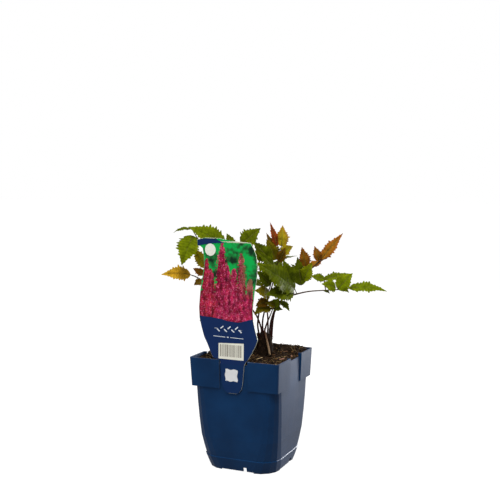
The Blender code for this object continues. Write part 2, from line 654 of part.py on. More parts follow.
# Each leaf: its colour, its stalk's knots from the hole in the crown, and its leaflets as
# (base, tip, width, tilt, arch), all lengths in millimetres and tilt in degrees.
FRONDS = {
    "leaf_far_right": {
        "colour": GREEN,
        "stalk_radius": 1.5,
        "stalk": ((20.5, 1, 134), (22.6, 1, 155), (24, 3, 169), (28, 4, 183), (37, 4, 193), (52, 5, 198), (67, 6, 201),
                  (86, 8, 202), (110, 10, 203)),
        "leaflets": (
            ((113, 10, 204), (158, 4, 201), 17, 38, 0.1),
            ((100, 9, 203), (117, 2, 223), 20, 62, 0.04),
            ((98, 8, 205), (80, -4, 211), 16, 62, 0.08),
            ((84, 20, 213), (119, 28, 219), 15, 30, 0.04),
            ((86, 18, 214), (68, 14, 218), 11, 60, 0.06),
            ((84, 7, 202), (90, -2, 199), 6, 20, 0.06),
            ((106, 8, 203), (113, 0, 200), 6, 20, 0.06),
            ((33, 1, 190), (43, -7, 179), 9, 40, 0.14),
            ((30, 0, 189), (26, -11, 181), 8, 50, 0.1),
            ((50, 1, 204), (5, -34, 238), 30, 58, 0.05),
            ((46, -1, 211), (35, -10, 240), 19, 66, 0.06),
            ((47, -3, 201), (14, -25, 201), 24, 58, 0.06),
        ),
    },
    "leaf_bronze_right": {
        "colour": BRONZE,
        "stalk": ((19, 5.5, 134), (20.5, 9, 155), (23, 12, 169), (33, 18, 193), (48, 24, 209), (61, 24, 217),
                  (70, 22, 226), (80, 20, 236)),
        "leaflets": (
            ((64, 20, 228), (58, 14, 253), 14, 75, 0.03),
            ((79, 18, 236), (73, 15, 254), 11, 70, 0.04),
            ((81, 20, 237), (107, 17, 269), 14, 62, 0.03),
            ((71, 19, 227), (93, 8, 243), 10, 10, 0.05),
            ((58, 20, 206), (53, 15, 241), 18, 72, 0.04),
            ((60, 19, 212), (70, 9, 235), 17, 62, 0.05),
            ((57, 27, 219), (46, 33, 231), 12, 12, 0.05),
            ((44, 27, 208), (62, 44, 214), 15, 20, 0.08),
            ((70, 26, 227), (84, 42, 234), 14, 20, 0.08),
        ),
    },
    "leaf_tall_centre": {
        "colour": BRONZE,
        "stalk": ((13.5, 4.5, 134), (12, 6, 155), (12.3, 7, 169), (18, 9, 191), (25, 9, 214), (30, 8, 236), (32, 6, 250)),
        "leaflets": (
            ((29, 4, 254), (20, 0, 283), 8, 60, 0.03),
            ((34, 5, 254), (35, 2, 279), 16, 72, 0.04),
            ((33, 3, 246), (47, -5, 255), 15, 60, 0.04),
            ((27, 8, 246), (16, 8, 270), 9, 74, 0.03),
            ((28, 6, 238), (16, 1, 263), 17, 66, 0.04),
            ((31, 3, 236), (38, -5, 254), 12, 68, 0.04),
            ((33, 10, 238), (53, 14, 242), 9, 8, 0.05),
            ((27, 12, 224), (33, 33, 236), 15, 15, 0.08),
            ((28, 11, 240), (20, 30, 250), 13, 25, 0.08),
        ),
    },
    "leaf_centre_front": {
        "colour": GREEN,
        "stalk": ((11, -1.5, 134), (7, -5, 155), (6, -7, 166), (9, -9, 184), (17, -10, 200), (22, -10, 216), (23, -10, 232)),
        "leaflets": (
            ((22, -10, 238), (0, -19, 262), 18, 72, 0.03),
            ((26, -10, 229), (3, -19, 251), 15, 45, 0.06),
            ((21, -13, 211), (4, -27, 229), 16, 66, 0.04),
            ((20, -12, 200), (2, -26, 206), 18, 58, 0.06),
            ((24, -12, 222), (3, -22, 238), 16, 58, 0.05),
        ),
    },
    "leaf_low_centre": {
        "colour": DARK,
        "stalk": ((15.5, -3, 134), (13.6, -7.5, 155), (16, -9, 164), (20, -10, 174), (23, -11, 182)),
        "leaflets": (
            ((21, -12, 184), (7, -18, 181), 11, 55, 0.08),
            ((18, -12, 193), (3, -20, 187), 13, 60, 0.06),
            ((24, -12, 186), (31, -17, 196), 11, 60, 0.05),
            ((14, -14, 187), (2, -19, 177), 10, 55, 0.06),
            ((26, -14, 187), (14, -19, 191), 9, 62, 0.05),
            ((24, -11, 183), (35, -14, 182), 9, 40, 0.1),
        ),
    },
    "leaf_left_green": {
        "colour": GREEN,
        "stalk": ((7.3, 3.7, 134), (-1.5, 4, 155), (-10, 5, 169), (-27, 8, 202), (-44, 10, 235), (-56, 8, 255), (-64, 6, 263)),
        "leaflets": (
            ((-32, 5, 256), (-75, 2, 277), 19, 62, 0.12),
            ((-70, 3, 274), (-92, -2, 270), 8, 25, 0.14),
            ((-69, 4, 267), (-82, -8, 233), 27, 52, 0.1),
            ((-54, 10, 228), (-70, 14, 252), 15, 66, 0.06),
            ((-42, 14, 226), (-60, 26, 234), 15, 20, 0.08),
        ),
    },
    "leaf_left_bronze": {
        "colour": BRONZE,
        "stalk": ((9.2, 7.6, 134), (-3, 12.4, 155), (-14, 14, 166), (-36, 18, 189), (-55, 18, 209), (-67, 16, 217), (-72, 15, 219)),
        "leaflets": (
            ((-73, 14, 220), (-107, 4, 221), 18, 62, 0.12),
            ((-57, 16, 219), (-71, 20, 227), 11, 45, 0.05),
            ((-59, 13, 213), (-69, 6, 208), 11, 50, 0.06),
            ((-40, 21, 200), (-52, 36, 208), 14, 20, 0.08),
        ),
    },
    "leaf_top": {
        "colour": DARK,
        "stalk": ((7.6, -3, 134), (1.5, -8, 155), (-3, -9, 170), (-6, -11, 205), (-8, -12, 237), (-9, -13, 252)),
        "leaflets": (
            ((-13, -14, 257), (9, -22, 277), 22, 66, 0.04),
            ((-23, -7, 255), (-30, -5, 270), 11, 70, 0.04),
            ((-9, -15, 240), (-26, -22, 252), 14, 40, 0.08),
            ((-4, -14, 222), (-22, -30, 232), 15, 40, 0.08),
        ),
    },
    "leaf_low_left": {
        "colour": DARK,
        "stalk": ((5.2, 0.6, 134), (-4, 1, 147), (-22, 3, 161), (-38, 4, 172), (-48, 4, 178)),
        "leaflets": (
            ((-47, 3, 190), (-62, 1, 166), 13, 66, 0.08),
            ((-46, 0, 179), (-56, -14, 186), 12, 50, 0.06),
            ((-32, 6, 172), (-42, 20, 180), 12, 20, 0.08),
            ((-30, 0, 170), (-42, -14, 178), 12, 30, 0.08),
        ),
    },
    "leaf_back_centre": {
        "colour": DARK,
        "stalk": ((16.8, 9.6, 134), (18.5, 17.5, 155), (18, 27, 172), (14, 40, 196), (10, 50, 216), (8, 58, 230)),
        "leaflets": (
            ((8, 60, 232), (6, 84, 244), 17, -20, 0.08),
            ((6, 52, 222), (-14, 60, 238), 16, 30, 0.06),
            ((12, 50, 222), (28, 64, 238), 15, -30, 0.06),
            ((11, 38, 203), (-8, 44, 214), 14, 20, 0.06),
            ((16, 36, 203), (36, 44, 212), 14, -15, 0.06),
            ((9, 52, 232), (12, 47, 254), 13, 60, 0.04),
        ),
    },
    "leaf_back_left": {
        "colour": GREEN,
        "stalk": ((12.7, 10.2, 134), (10.5, 20, 155), (4, 29, 170), (-14, 46, 190), (-30, 58, 203), (-40, 64, 208)),
        "leaflets": (
            ((-42, 65, 209), (-64, 76, 208), 17, -25, 0.1),
            ((-34, 62, 208), (-36, 80, 222), 14, -40, 0.06),
            ((-32, 56, 206), (-52, 52, 218), 15, 30, 0.06),
            ((-16, 50, 196), (-16, 70, 206), 14, -30, 0.06),
            ((-16, 43, 195), (-36, 38, 202), 14, 20, 0.06),
        ),
    },
}


def clear_scene():
    for obj in list(bpy.data.objects):
        bpy.data.objects.remove(obj)


def main():
    clear_scene()
    blue = make_material("pot_blue", (0.02, 0.07, 0.2), 0.42)
    peat = make_material("peat", (0.045, 0.03, 0.02), 0.95)
    bark = make_material("crown_brown", (0.06, 0.04, 0.025), 0.9)
    card = make_material("label_card", (0.3, 0.05, 0.2), 0.35)
    make_pot(blue)
    make_soil(peat)
    make_crown(bark, FRONDS.values())
    make_label(card)
    for name, frond in FRONDS.items():
        make_frond(name, frond, make_material(name, frond["colour"], 0.5))


main()
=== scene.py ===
"""The looks of a young astilbe in its nursery pot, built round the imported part, in metres."""

import math
import random

import bmesh
import bpy
from mathutils import Matrix, Vector, noise


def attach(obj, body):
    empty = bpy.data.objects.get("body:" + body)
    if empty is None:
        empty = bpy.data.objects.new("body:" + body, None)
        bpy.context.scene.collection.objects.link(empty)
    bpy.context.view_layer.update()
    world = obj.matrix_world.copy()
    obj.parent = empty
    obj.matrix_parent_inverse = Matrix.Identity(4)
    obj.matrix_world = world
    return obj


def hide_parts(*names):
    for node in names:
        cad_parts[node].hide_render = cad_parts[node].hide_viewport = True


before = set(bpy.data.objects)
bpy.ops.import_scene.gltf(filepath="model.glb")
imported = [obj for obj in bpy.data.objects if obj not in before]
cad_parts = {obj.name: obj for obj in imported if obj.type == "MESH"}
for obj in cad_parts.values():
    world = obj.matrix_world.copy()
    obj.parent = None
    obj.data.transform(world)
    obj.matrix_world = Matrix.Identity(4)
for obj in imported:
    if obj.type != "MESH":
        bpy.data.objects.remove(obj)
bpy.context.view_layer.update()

MM = 0.001
UP = Vector((0.0, 0.0, 1.0))
VIEW_TURN = math.radians(23.9)
RANDOM_START = 7

# The same sizes as the part's solids, in millimetres.
BAY_WIDTH = 35.0
SOIL_LEVEL = 124.6
# Heaps on the peat: (across, away, rise, spread).
HEAPS = (
    (13.6, 3.0, 3.2, 24.0), (31.0, 27.0, 7.0, 13.0), (58.0, 26.0, 5.0, 12.0), (-48.0, 6.0, 4.5, 12.0),
)
CROWN_CENTRE = (13.6, 3.0)
CROWN_RADIUS = 11.4
CROWN_FOOT = 112.0
CROWN_TOP = 150.5
LABEL_THICKNESS = 0.8
LABEL_PLANE = -52.95
LABEL_NECK = 126.2
STALK_RADIUS = 1.15
STALK_TIP_RADIUS = 0.62
THICK_STALKS = {"leaf_far_right": 1.5}

# Leaf colours, linear: (blade, towards the edge and tip).
TONES = {
    "green": ((0.1, 0.135, 0.002), (0.16, 0.19, 0.003)),
    "moss": ((0.062, 0.085, 0.0015), (0.1, 0.12, 0.002)),
    "lime": ((0.15, 0.19, 0.003), (0.22, 0.23, 0.005)),
    "yellow": ((0.19, 0.17, 0.004), (0.32, 0.2, 0.01)),
    "gold": ((0.36, 0.29, 0.01), (0.4, 0.16, 0.02)),
    "bronze": ((0.21, 0.09, 0.006), (0.29, 0.08, 0.01)),
    "orange": ((0.4, 0.21, 0.01), (0.42, 0.26, 0.02)),
    "red": ((0.17, 0.03, 0.006), (0.3, 0.06, 0.012)),
    "brown": ((0.1, 0.055, 0.003), (0.16, 0.07, 0.006)),
    "olive": ((0.11, 0.095, 0.002), (0.17, 0.12, 0.004)),
    "dark": ((0.065, 0.085, 0.0015), (0.1, 0.12, 0.002)),
    "deep": ((0.03, 0.04, 0.001), (0.05, 0.06, 0.0015)),
    "plum": ((0.05, 0.018, 0.012), (0.08, 0.025, 0.016)),
}

# Each leaf: the record's slot, its stalk's knots, and its leaflets. A leaflet is the three numbers of
# its base, the three of its tip, and its width, tilt, arch and tone.
# Points are (across, away, up) for someone who stands VIEW_TURN round to the right of the label side.
FRONDS = {
    "leaf_far_right": ("leaf_green", (
        (20.5, 1, 134), (22.6, 1, 155), (24, 3, 169), (28, 4, 183), (37, 4, 193), (52, 5, 198), (67, 6, 201),
        (86, 8, 202), (110, 10, 203)), (
        (113, 10, 204, 158, 4, 201, 17, 38, 0.1, "green"),
        (100, 9, 203, 117, 2, 223, 20, 62, 0.04, "green"),
        (98, 8, 205, 80, -4, 211, 16, 62, 0.08, "green"),
        (84, 20, 213, 119, 28, 219, 15, 30, 0.04, "green"),
        (86, 18, 214, 68, 14, 218, 11, 60, 0.06, "green"),
        (84, 7, 202, 90, -2, 199, 6, 20, 0.06, "dark"),
        (106, 8, 203, 113, 0, 200, 6, 20, 0.06, "dark"),
        (33, 1, 190, 43, -7, 179, 9, 40, 0.14, "dark"),
        (30, 0, 189, 26, -11, 181, 8, 50, 0.1, "dark"),
        (50, 1, 204, 5, -34, 238, 30, 58, 0.05, "moss"),
        (46, -1, 211, 35, -10, 240, 19, 66, 0.06, "moss"),
        (47, -3, 201, 14, -25, 201, 24, 58, 0.06, "dark"),
    )),
    "leaf_bronze_right": ("leaf_bronze", (
        (19, 5.5, 134), (20.5, 9, 155), (23, 12, 169), (33, 18, 193), (48, 24, 209), (61, 24, 217),
        (70, 22, 226), (80, 20, 236)), (
        (64, 20, 228, 58, 14, 253, 14, 75, 0.03, "bronze"),
        (79, 18, 236, 73, 15, 254, 11, 70, 0.04, "bronze"),
        (81, 20, 237, 107, 17, 269, 14, 62, 0.03, "bronze"),
        (71, 19, 227, 93, 8, 243, 10, 10, 0.05, "plum"),
        (58, 20, 206, 53, 15, 241, 18, 72, 0.04, "dark"),
        (60, 19, 212, 70, 9, 235, 17, 62, 0.05, "lime"),
        (57, 27, 219, 46, 33, 231, 12, 12, 0.05, "deep"),
        (44, 27, 208, 62, 44, 214, 15, 20, 0.08, "green"),
        (70, 26, 227, 84, 42, 234, 14, 20, 0.08, "bronze"),
    )),
    "leaf_tall_centre": ("leaf_bronze", (
        (13.5, 4.5, 134), (12, 6, 155), (12.3, 7, 169), (18, 9, 191), (25, 9, 214), (30, 8, 236),
        (32, 6, 250)), (
        (29, 4, 254, 20, 0, 283, 8, 60, 0.03, "red"),
        (34, 5, 254, 35, 2, 279, 16, 72, 0.04, "gold"),
        (33, 3, 246, 47, -5, 255, 15, 60, 0.04, "yellow"),
        (27, 8, 246, 16, 8, 270, 9, 74, 0.03, "brown"),
        (28, 6, 238, 16, 1, 263, 17, 66, 0.04, "olive"),
        (31, 3, 236, 38, -5, 254, 12, 68, 0.04, "brown"),
        (33, 10, 238, 53, 14, 242, 9, 8, 0.05, "dark"),
        (27, 12, 224, 33, 33, 236, 15, 15, 0.08, "dark"),
        (28, 11, 240, 20, 30, 250, 13, 25, 0.08, "green"),
    )),
    "leaf_centre_front": ("leaf_green", (
        (11, -1.5, 134), (7, -5, 155), (6, -7, 166), (9, -9, 184), (17, -10, 200), (22, -10, 216),
        (23, -10, 232)), (
        (22, -10, 238, 0, -19, 262, 18, 72, 0.03, "dark"),
        (26, -10, 229, 3, -19, 251, 15, 45, 0.06, "moss"),
        (21, -13, 211, 4, -27, 229, 16, 66, 0.04, "dark"),
        (20, -12, 200, 2, -26, 206, 18, 58, 0.06, "olive"),
        (24, -12, 222, 3, -22, 238, 16, 58, 0.05, "green"),
    )),
    "leaf_low_centre": ("leaf_dark", (
        (15.5, -3, 134), (13.6, -7.5, 155), (16, -9, 164), (20, -10, 174), (23, -11, 182)), (
        (21, -12, 184, 7, -18, 181, 11, 55, 0.08, "olive"),
        (18, -12, 193, 3, -20, 187, 13, 60, 0.06, "brown"),
        (24, -12, 186, 31, -17, 196, 11, 60, 0.05, "dark"),
        (14, -14, 187, 2, -19, 177, 10, 55, 0.06, "olive"),
        (26, -14, 187, 14, -19, 191, 9, 62, 0.05, "olive"),
        (24, -11, 183, 35, -14, 182, 9, 40, 0.1, "dark"),
    )),
    "leaf_left_green": ("leaf_green", (
        (7.3, 3.7, 134), (-1.5, 4, 155), (-10, 5, 169), (-27, 8, 202), (-44, 10, 235), (-56, 8, 255),
        (-64, 6, 263)), (
        (-32, 5, 256, -75, 2, 277, 25, 62, 0.1, "green"),
        (-70, 3, 274, -92, -2, 270, 8, 25, 0.14, "dark"),
        (-69, 4, 267, -82, -8, 233, 27, 52, 0.1, "green"),
        (-54, 10, 228, -70, 14, 252, 15, 66, 0.06, "yellow"),
        (-42, 14, 226, -60, 26, 234, 15, 20, 0.08, "green"),
    )),
    "leaf_left_bronze": ("leaf_bronze", (
        (9.2, 7.6, 134), (-3, 12.4, 155), (-14, 14, 166), (-36, 18, 189), (-55, 18, 209), (-67, 16, 217),
        (-72, 15, 219)), (
        (-73, 14, 220, -107, 4, 221, 18, 62, 0.12, "orange"),
        (-57, 16, 219, -71, 20, 227, 11, 45, 0.05, "bronze"),
        (-59, 13, 213, -69, 6, 208, 11, 50, 0.06, "brown"),
        (-40, 21, 200, -52, 36, 208, 14, 20, 0.08, "yellow"),
    )),
    "leaf_top": ("leaf_dark", (
        (7.6, -3, 134), (1.5, -8, 155), (-3, -9, 170), (-6, -11, 205), (-8, -12, 237), (-9, -13, 252)), (
        (-13, -14, 257, 9, -22, 277, 22, 66, 0.04, "dark"),
        (-23, -7, 255, -30, -5, 270, 11, 70, 0.04, "dark"),
        (-9, -15, 240, -26, -22, 252, 14, 40, 0.08, "green"),
        (-4, -14, 222, -22, -30, 232, 15, 40, 0.08, "green"),
    )),
    "leaf_low_left": ("leaf_dark", (
        (5.2, 0.6, 134), (-4, 1, 147), (-22, 3, 161), (-38, 4, 172), (-48, 4, 178)), (
        (-47, 3, 190, -62, 1, 166, 13, 66, 0.08, "dark"),
        (-46, 0, 179, -56, -14, 186, 12, 50, 0.06, "dark"),
        (-32, 6, 172, -42, 20, 180, 12, 20, 0.08, "green"),
        (-30, 0, 170, -42, -14, 178, 12, 30, 0.08, "dark"),
    )),
    "leaf_back_centre": ("leaf_dark", (
        (16.8, 9.6, 134), (18.5, 17.5, 155), (18, 27, 172), (14, 40, 196), (10, 50, 216), (8, 58, 230)), (
        (8, 60, 232, 6, 84, 244, 17, -20, 0.08, "green"),
        (6, 52, 222, -14, 60, 238, 16, 30, 0.06, "dark"),
        (12, 50, 222, 28, 64, 238, 15, -30, 0.06, "green"),
        (11, 38, 203, -8, 44, 214, 14, 20, 0.06, "dark"),
        (16, 36, 203, 36, 44, 212, 14, -15, 0.06, "dark"),
        (9, 52, 232, 12, 47, 254, 13, 60, 0.04, "dark"),
    )),
    "leaf_back_left": ("leaf_green", (
        (12.7, 10.2, 134), (10.5, 20, 155), (4, 29, 170), (-14, 46, 190), (-30, 58, 203), (-40, 64, 208)), (
        (-42, 65, 209, -64, 76, 208, 17, -25, 0.1, "green"),
        (-34, 62, 208, -36, 80, 222, 14, -40, 0.06, "green"),
        (-32, 56, 206, -52, 52, 218, 15, 30, 0.06, "lime"),
        (-16, 50, 196, -16, 70, 206, 14, -30, 0.06, "dark"),
        (-16, 43, 195, -36, 38, 202, 14, 20, 0.06, "green"),
    )),
}

# Label outline rows: (height, left edge, right edge), from the tongue's foot to the curved top.
LABEL_EDGES = (
    (92.6, -5.5, 3.5),
    (94.0, -9.2, 6.6),
    (98.0, -12.8, 9.8),
    (104.0, -14.6, 11.2),
    (114.0, -15.4, 12.2),
    (125.6, -16.2, 13.2),
    (130.1, -16.8, 15.8),
    (131.4, -25.2, 17.4),
    (139.7, -29.5, 22.2),
    (147.0, -32.8, 26.2),
    (154.5, -37.0, 29.2),
    (166.0, -40.8, 25.8),
    (176.0, -43.3, 23.4),
    (188.0, -44.1, 22.5),
    (208.0, -42.5, 24.4),
    (222.0, -39.8, 26.7),
    (236.0, -37.4, 26.8),
    (247.5, -38.2, 25.5),
    (255.5, -39.8, 22.4),
    (258.5, -46.2, 20.6),
    (262.1, -46.8, 18.5),
    (264.6, -47.4, -9.5),
    (266.6, -36.0, -17.0),
)
PANEL_TOP = ((-46.0, 178.2), (-30.0, 177.4), (-18.0, 176.3), (-5.0, 174.0), (4.0, 173.2), (24.0, 177.6))
LABEL_WAIST = 126.0

# How far each printed layer stands in front of the card, in millimetres.
PICTURE_LIFT = 0.05
SHADE_LIFT = 0.07
FLORET_LIFT = 0.11
PANEL_LIFT = 0.18
PATCH_LIFT = 0.22
MARK_LIFT = 0.26
FLORET_COUNT = 9000

# Plumes printed on the label: (x and height of the foot, x and height of the tip, half width of the foot).
PLUMES = (
    (-34.0, 176.0, -34.5, 243.0, 10.5),
    (-27.0, 176.0, -29.0, 232.0, 9.0),
    (-16.0, 176.0, -14.5, 261.0, 11.5),
    (-8.0, 176.0, -8.0, 236.0, 9.0),
    (0.0, 176.0, 0.0, 233.0, 9.5),
    (10.0, 176.0, 8.5, 250.0, 8.5),
    (18.0, 177.0, 19.5, 222.0, 7.0),
)
PLUME_TAPER = 0.62


def to_world(across, away, up):
    """From a viewer's millimetres to the frame's metres."""
    cosine, sine = math.cos(VIEW_TURN), math.sin(VIEW_TURN)
    return Vector((across * cosine - away * sine, across * sine + away * cosine, up)) * MM


def between(rows, value):
    """A table's other columns where its first column has this value."""
    for low, high in zip(rows, rows[1:]):
        if low[0] <= value <= high[0]:
            share = (value - low[0]) / (high[0] - low[0])
            return [a + (b - a) * share for a, b in zip(low[1:], high[1:])]
    return list(rows[-1][1:])


def clamp(value, low, high):
    return max(low, min(high, value))


def spoke(angle):
    """A level unit vector."""
    return Vector((math.cos(angle), math.sin(angle), 0.0))


def around(count):
    return [spoke(2 * math.pi * i / count) for i in range(count)]


def new_mesh():
    bm = bmesh.new()
    layers = bm.loops.layers
    return bm, {"uv": layers.uv.new("blade"), "tint": layers.float_color.new("tint")}


def paint(layers, faces, colour):
    for face in faces:
        for loop in face.loops:
            loop[layers["tint"]] = (*colour, 1.0)


def sheet_faces(bm, grid):
    return [
        bm.faces.new((here[j], there[j], there[j + 1], here[j + 1]))
        for here, there in zip(grid, grid[1:])
        for j in range(len(here) - 1)
    ]


def skin_faces(bm, rings):
    """Faces between closed rings, then one over the first ring and one over the last."""
    faces = []
    for lower, upper in zip(rings, rings[1:]):
        for k in range(len(lower)):
            m = (k + 1) % len(lower)
            faces.append(bm.faces.new((lower[k], lower[m], upper[m], upper[k])))
    return faces + [bm.faces.new(rings[0][::-1]), bm.faces.new(rings[-1])]


def place_in_scene(name, data):
    obj = bpy.data.objects.new(name, data)
    bpy.context.scene.collection.objects.link(obj)
    return obj


def mesh_object(name, bm, materials):
    mesh = bpy.data.meshes.new(name)
    bm.to_mesh(mesh)
    bm.free()
    for material in materials:
        mesh.materials.append(material)
    return place_in_scene(name, mesh)


def new_piece(name, bm, materials):
    obj = mesh_object(name, bm, materials)
    obj.data.shade_smooth()
    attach(obj, "root")
    return obj


def add_tube(bm, layers, points, radii, sides, colours, slot=0):
    """A tube through points, with radii in millimetres and a colour at each end."""
    rings = []
    side = (points[1] - points[0]).normalized().orthogonal().normalized()
    for i, point in enumerate(points):
        before, after = points[max(0, i - 1)], points[min(len(points) - 1, i + 1)]
        along = (after - before).normalized()
        side = (side - along * side.dot(along)).normalized()
        other = along.cross(side)
        outwards = [side * turn.x + other * turn.y for turn in around(sides)]
        rings.append([bm.verts.new(point + out * radii[i] * MM) for out in outwards])
    last = len(rings) - 1
    steps = [i for i in range(last) for _ in range(sides)] + [0, last]
    first_colour, last_colour = Vector(colours[0]), Vector(colours[1])
    for face, step in zip(skin_faces(bm, rings), steps):
        face.material_index = slot
        paint(layers, [face], first_colour.lerp(last_colour, step / last))


def smooth_path(points, per_span=3):
    path = []
    for i in range(len(points) - 1):
        before, start, end = points[max(0, i - 1)], points[i], points[i + 1]
        after = points[min(len(points) - 1, i + 2)]
        for k in range(per_span):
            t = k / per_span
            straight = 2 * start + (end - before) * t
            bend = (2 * before - 5 * start + 4 * end - after) * t**2
            turn = (3 * start - before - 3 * end + after) * t**3
            path.append(0.5 * (straight + bend + turn))
    path.append(points[-1])
    return path


# Materials

# The pot's plastic: its colours, linear, and the least and most roughness of its upright scuffs.
POT_DEEP = (0.0008, 0.019, 0.066)
POT_BLUE = (0.002, 0.03, 0.098)
POT_SMOOTH, POT_SCUFFED = 0.3, 0.52
POT_GLOSS = 0.13
POT_HAZE, POT_HAZE_ROUGHNESS = 0.12, 0.4
UPRIGHT = (1.0, 1.0, 0.14)

# How finely each noise is divided, in features per metre.
POT_CLOUD = 26.0
POT_SCUFF = 60.0
POT_GRAIN = 900.0
BLADE_PATCH = 210.0
BLADE_CELL = 800.0

# Where a Mix node keeps its colour sockets.
MIX_COLOUR_A, MIX_COLOUR_B, MIX_COLOUR_RESULT = 6, 7, 2

# A blade's map counts its teeth in x, and y goes from 0 at the midrib to 1 or -1 at the edge.
VEIN_PLACE = 0.75
VEIN_HALF_WIDTH = 0.07
MIDRIB_HALF_WIDTH = 0.055
VEIN_STRENGTH = 0.6
VEIN_TINT = (0.55, 0.58, 0.45, 1.0)
BLADE_GLOSS = 0.05
BLADE_DARKEST, BLADE_SPREAD = 0.2, 1.7
BLADE_GLOW = 0.22

MATT_GLOSS = 0.07
CARD_GLOSS = 0.1


def feed(node, inputs):
    """Set a node's inputs, or link those whose value is a socket."""
    for key, value in inputs.items():
        if isinstance(value, bpy.types.NodeSocket):
            node.id_data.links.new(value, node.inputs[key])
        else:
            node.inputs[key].default_value = value
    return node


def add_node(tree, kind, inputs, **settings):
    node = tree.nodes.new(kind)
    for key, value in settings.items():
        setattr(node, key, value)
    return feed(node, inputs)


def new_material(name, roughness, gloss):
    material = bpy.data.materials.new(name)
    material.use_nodes = True
    shader = material.node_tree.nodes["Principled BSDF"]
    feed(shader, {"Roughness": roughness, "Specular IOR Level": gloss})
    return material, material.node_tree, shader


def noise_node(tree, scale, detail, stretch=(1.0, 1.0, 1.0)):
    place = add_node(tree, "ShaderNodeTexCoord", {}).outputs["Object"]
    place = add_node(tree, "ShaderNodeMapping", {"Vector": place, "Scale": stretch}).outputs["Vector"]
    inputs = {"Vector": place, "Scale": scale, "Detail": detail}
    return add_node(tree, "ShaderNodeTexNoise", inputs).outputs["Fac"]


def ramp(tree, source, stops):
    """A colour ramp over a value. Stops are (position, (r, g, b))."""
    node = add_node(tree, "ShaderNodeValToRGB", {"Fac": source})
    elements = node.color_ramp.elements
    while len(elements) < len(stops):
        elements.new(0.5)
    for element, (position, colour) in zip(elements, stops):
        element.position = position
        element.color = (*colour, 1.0)
    return node.outputs["Color"]


def bump(tree, source, distance, strength):
    inputs = {"Height": source, "Distance": distance, "Strength": strength}
    return add_node(tree, "ShaderNodeBump", inputs).outputs["Normal"]


def math_node(tree, operation, *values):
    return add_node(tree, "ShaderNodeMath", dict(enumerate(values)), operation=operation).outputs[0]


def shaded_tint(tree, source, darkest, spread):
    """The mesh's colour, made from darkest to darkest + spread times as bright by a noise."""
    tint = add_node(tree, "ShaderNodeVertexColor", {}, layer_name="tint").outputs["Color"]
    value = math_node(tree, "ADD", math_node(tree, "MULTIPLY", source, spread), darkest)
    return add_node(tree, "ShaderNodeHueSaturation", {"Value": value, "Color": tint}).outputs["Color"]


def pot_material():
    """Moulded blue plastic, a little cloudy, with upright scuffs, fine grain and a thin haze."""
    material, tree, shader = new_material("pot_plastic", POT_SCUFFED, POT_GLOSS)
    scuffs = noise_node(tree, POT_SCUFF, 5.0, UPRIGHT)
    rough = {"Value": scuffs, "To Min": POT_SMOOTH, "To Max": POT_SCUFFED}
    feed(shader, {
        "Sheen Weight": POT_HAZE,
        "Sheen Roughness": POT_HAZE_ROUGHNESS,
        "Base Color": ramp(tree, noise_node(tree, POT_CLOUD, 6.0), [(0.3, POT_DEEP), (0.7, POT_BLUE)]),
        "Roughness": add_node(tree, "ShaderNodeMapRange", rough).outputs["Result"],
        "Normal": bump(tree, noise_node(tree, POT_GRAIN, 3.0), 0.00012, 0.35),
    })
    return material


def blade_veins(tree):
    """1 on a blade's veins and 0 between them."""
    uv = add_node(tree, "ShaderNodeUVMap", {}, uv_map="blade").outputs["UV"]
    split = add_node(tree, "ShaderNodeSeparateXYZ", {"Vector": uv})
    phase = math_node(tree, "FRACT", split.outputs["X"])
    distance = math_node(tree, "ABSOLUTE", math_node(tree, "SUBTRACT", phase, VEIN_PLACE))
    side_vein = math_node(tree, "LESS_THAN", distance, VEIN_HALF_WIDTH)
    aside = math_node(tree, "ABSOLUTE", split.outputs["Y"])
    return math_node(tree, "MAXIMUM", side_vein, math_node(tree, "LESS_THAN", aside, MIDRIB_HALF_WIDTH))


def leaf_material(name):
    """A leaf's blade: colour in patches, darker veins, and a little light through it."""
    material, tree, shader = new_material(name, 0.5, BLADE_GLOSS)
    vein = blade_veins(tree)
    shade = shaded_tint(tree, noise_node(tree, BLADE_PATCH, 5.0), BLADE_DARKEST, BLADE_SPREAD)
    strength = math_node(tree, "MULTIPLY", vein, VEIN_STRENGTH)
    veined = add_node(tree, "ShaderNodeMix", {}, data_type="RGBA", blend_type="MULTIPLY")
    feed(veined, {"Factor": strength, MIX_COLOUR_A: shade, MIX_COLOUR_B: VEIN_TINT})
    colour = veined.outputs[MIX_COLOUR_RESULT]
    cells = noise_node(tree, BLADE_CELL, 3.0)
    height = math_node(tree, "SUBTRACT", cells, math_node(tree, "MULTIPLY", vein, 0.8))
    feed(shader, {"Base Color": colour, "Normal": bump(tree, height, 0.00018, 0.5)})
    glow = add_node(tree, "ShaderNodeBsdfTranslucent", {"Color": colour})
    mixed = {"Fac": BLADE_GLOW, 1: shader.outputs["BSDF"], 2: glow.outputs["BSDF"]}
    surface = add_node(tree, "ShaderNodeMixShader", mixed).outputs["Shader"]
    feed(tree.nodes["Material Output"], {"Surface": surface})
    return material


def tinted_material(name, roughness, scale, spread, bump_depth):
    material, tree, shader = new_material(name, roughness, MATT_GLOSS)
    cloud = noise_node(tree, scale, 6.0)
    colour = shaded_tint(tree, cloud, 1.0 - spread / 2, spread)
    feed(shader, {"Base Color": colour, "Normal": bump(tree, cloud, bump_depth, 0.6)})
    return material


def card_material(name, scale, stops):
    material, tree, shader = new_material(name, 0.3, CARD_GLOSS)
    cloud = noise_node(tree, scale, 6.0)
    feed(shader, {"Base Color": ramp(tree, cloud, stops), "Normal": bump(tree, cloud, 0.00003, 0.5)})
    return material


# Leaves

# A leaflet's outline: an oval that leans to the foot, and how its end is drawn out to a point.
OVAL_LEAN = 0.72
OVAL_FULLNESS = 0.85
POINT_START = 0.55
POINT_PULL = 0.42
POINT_CURVE = 0.8

# How steeply the halves of a blade fold up from the midrib, and how far its edge ripples.
FOLD = 0.16
RIPPLE = 0.02
RIPPLE_TURNS = 17.0
RIPPLE_OFFSET = 1.3

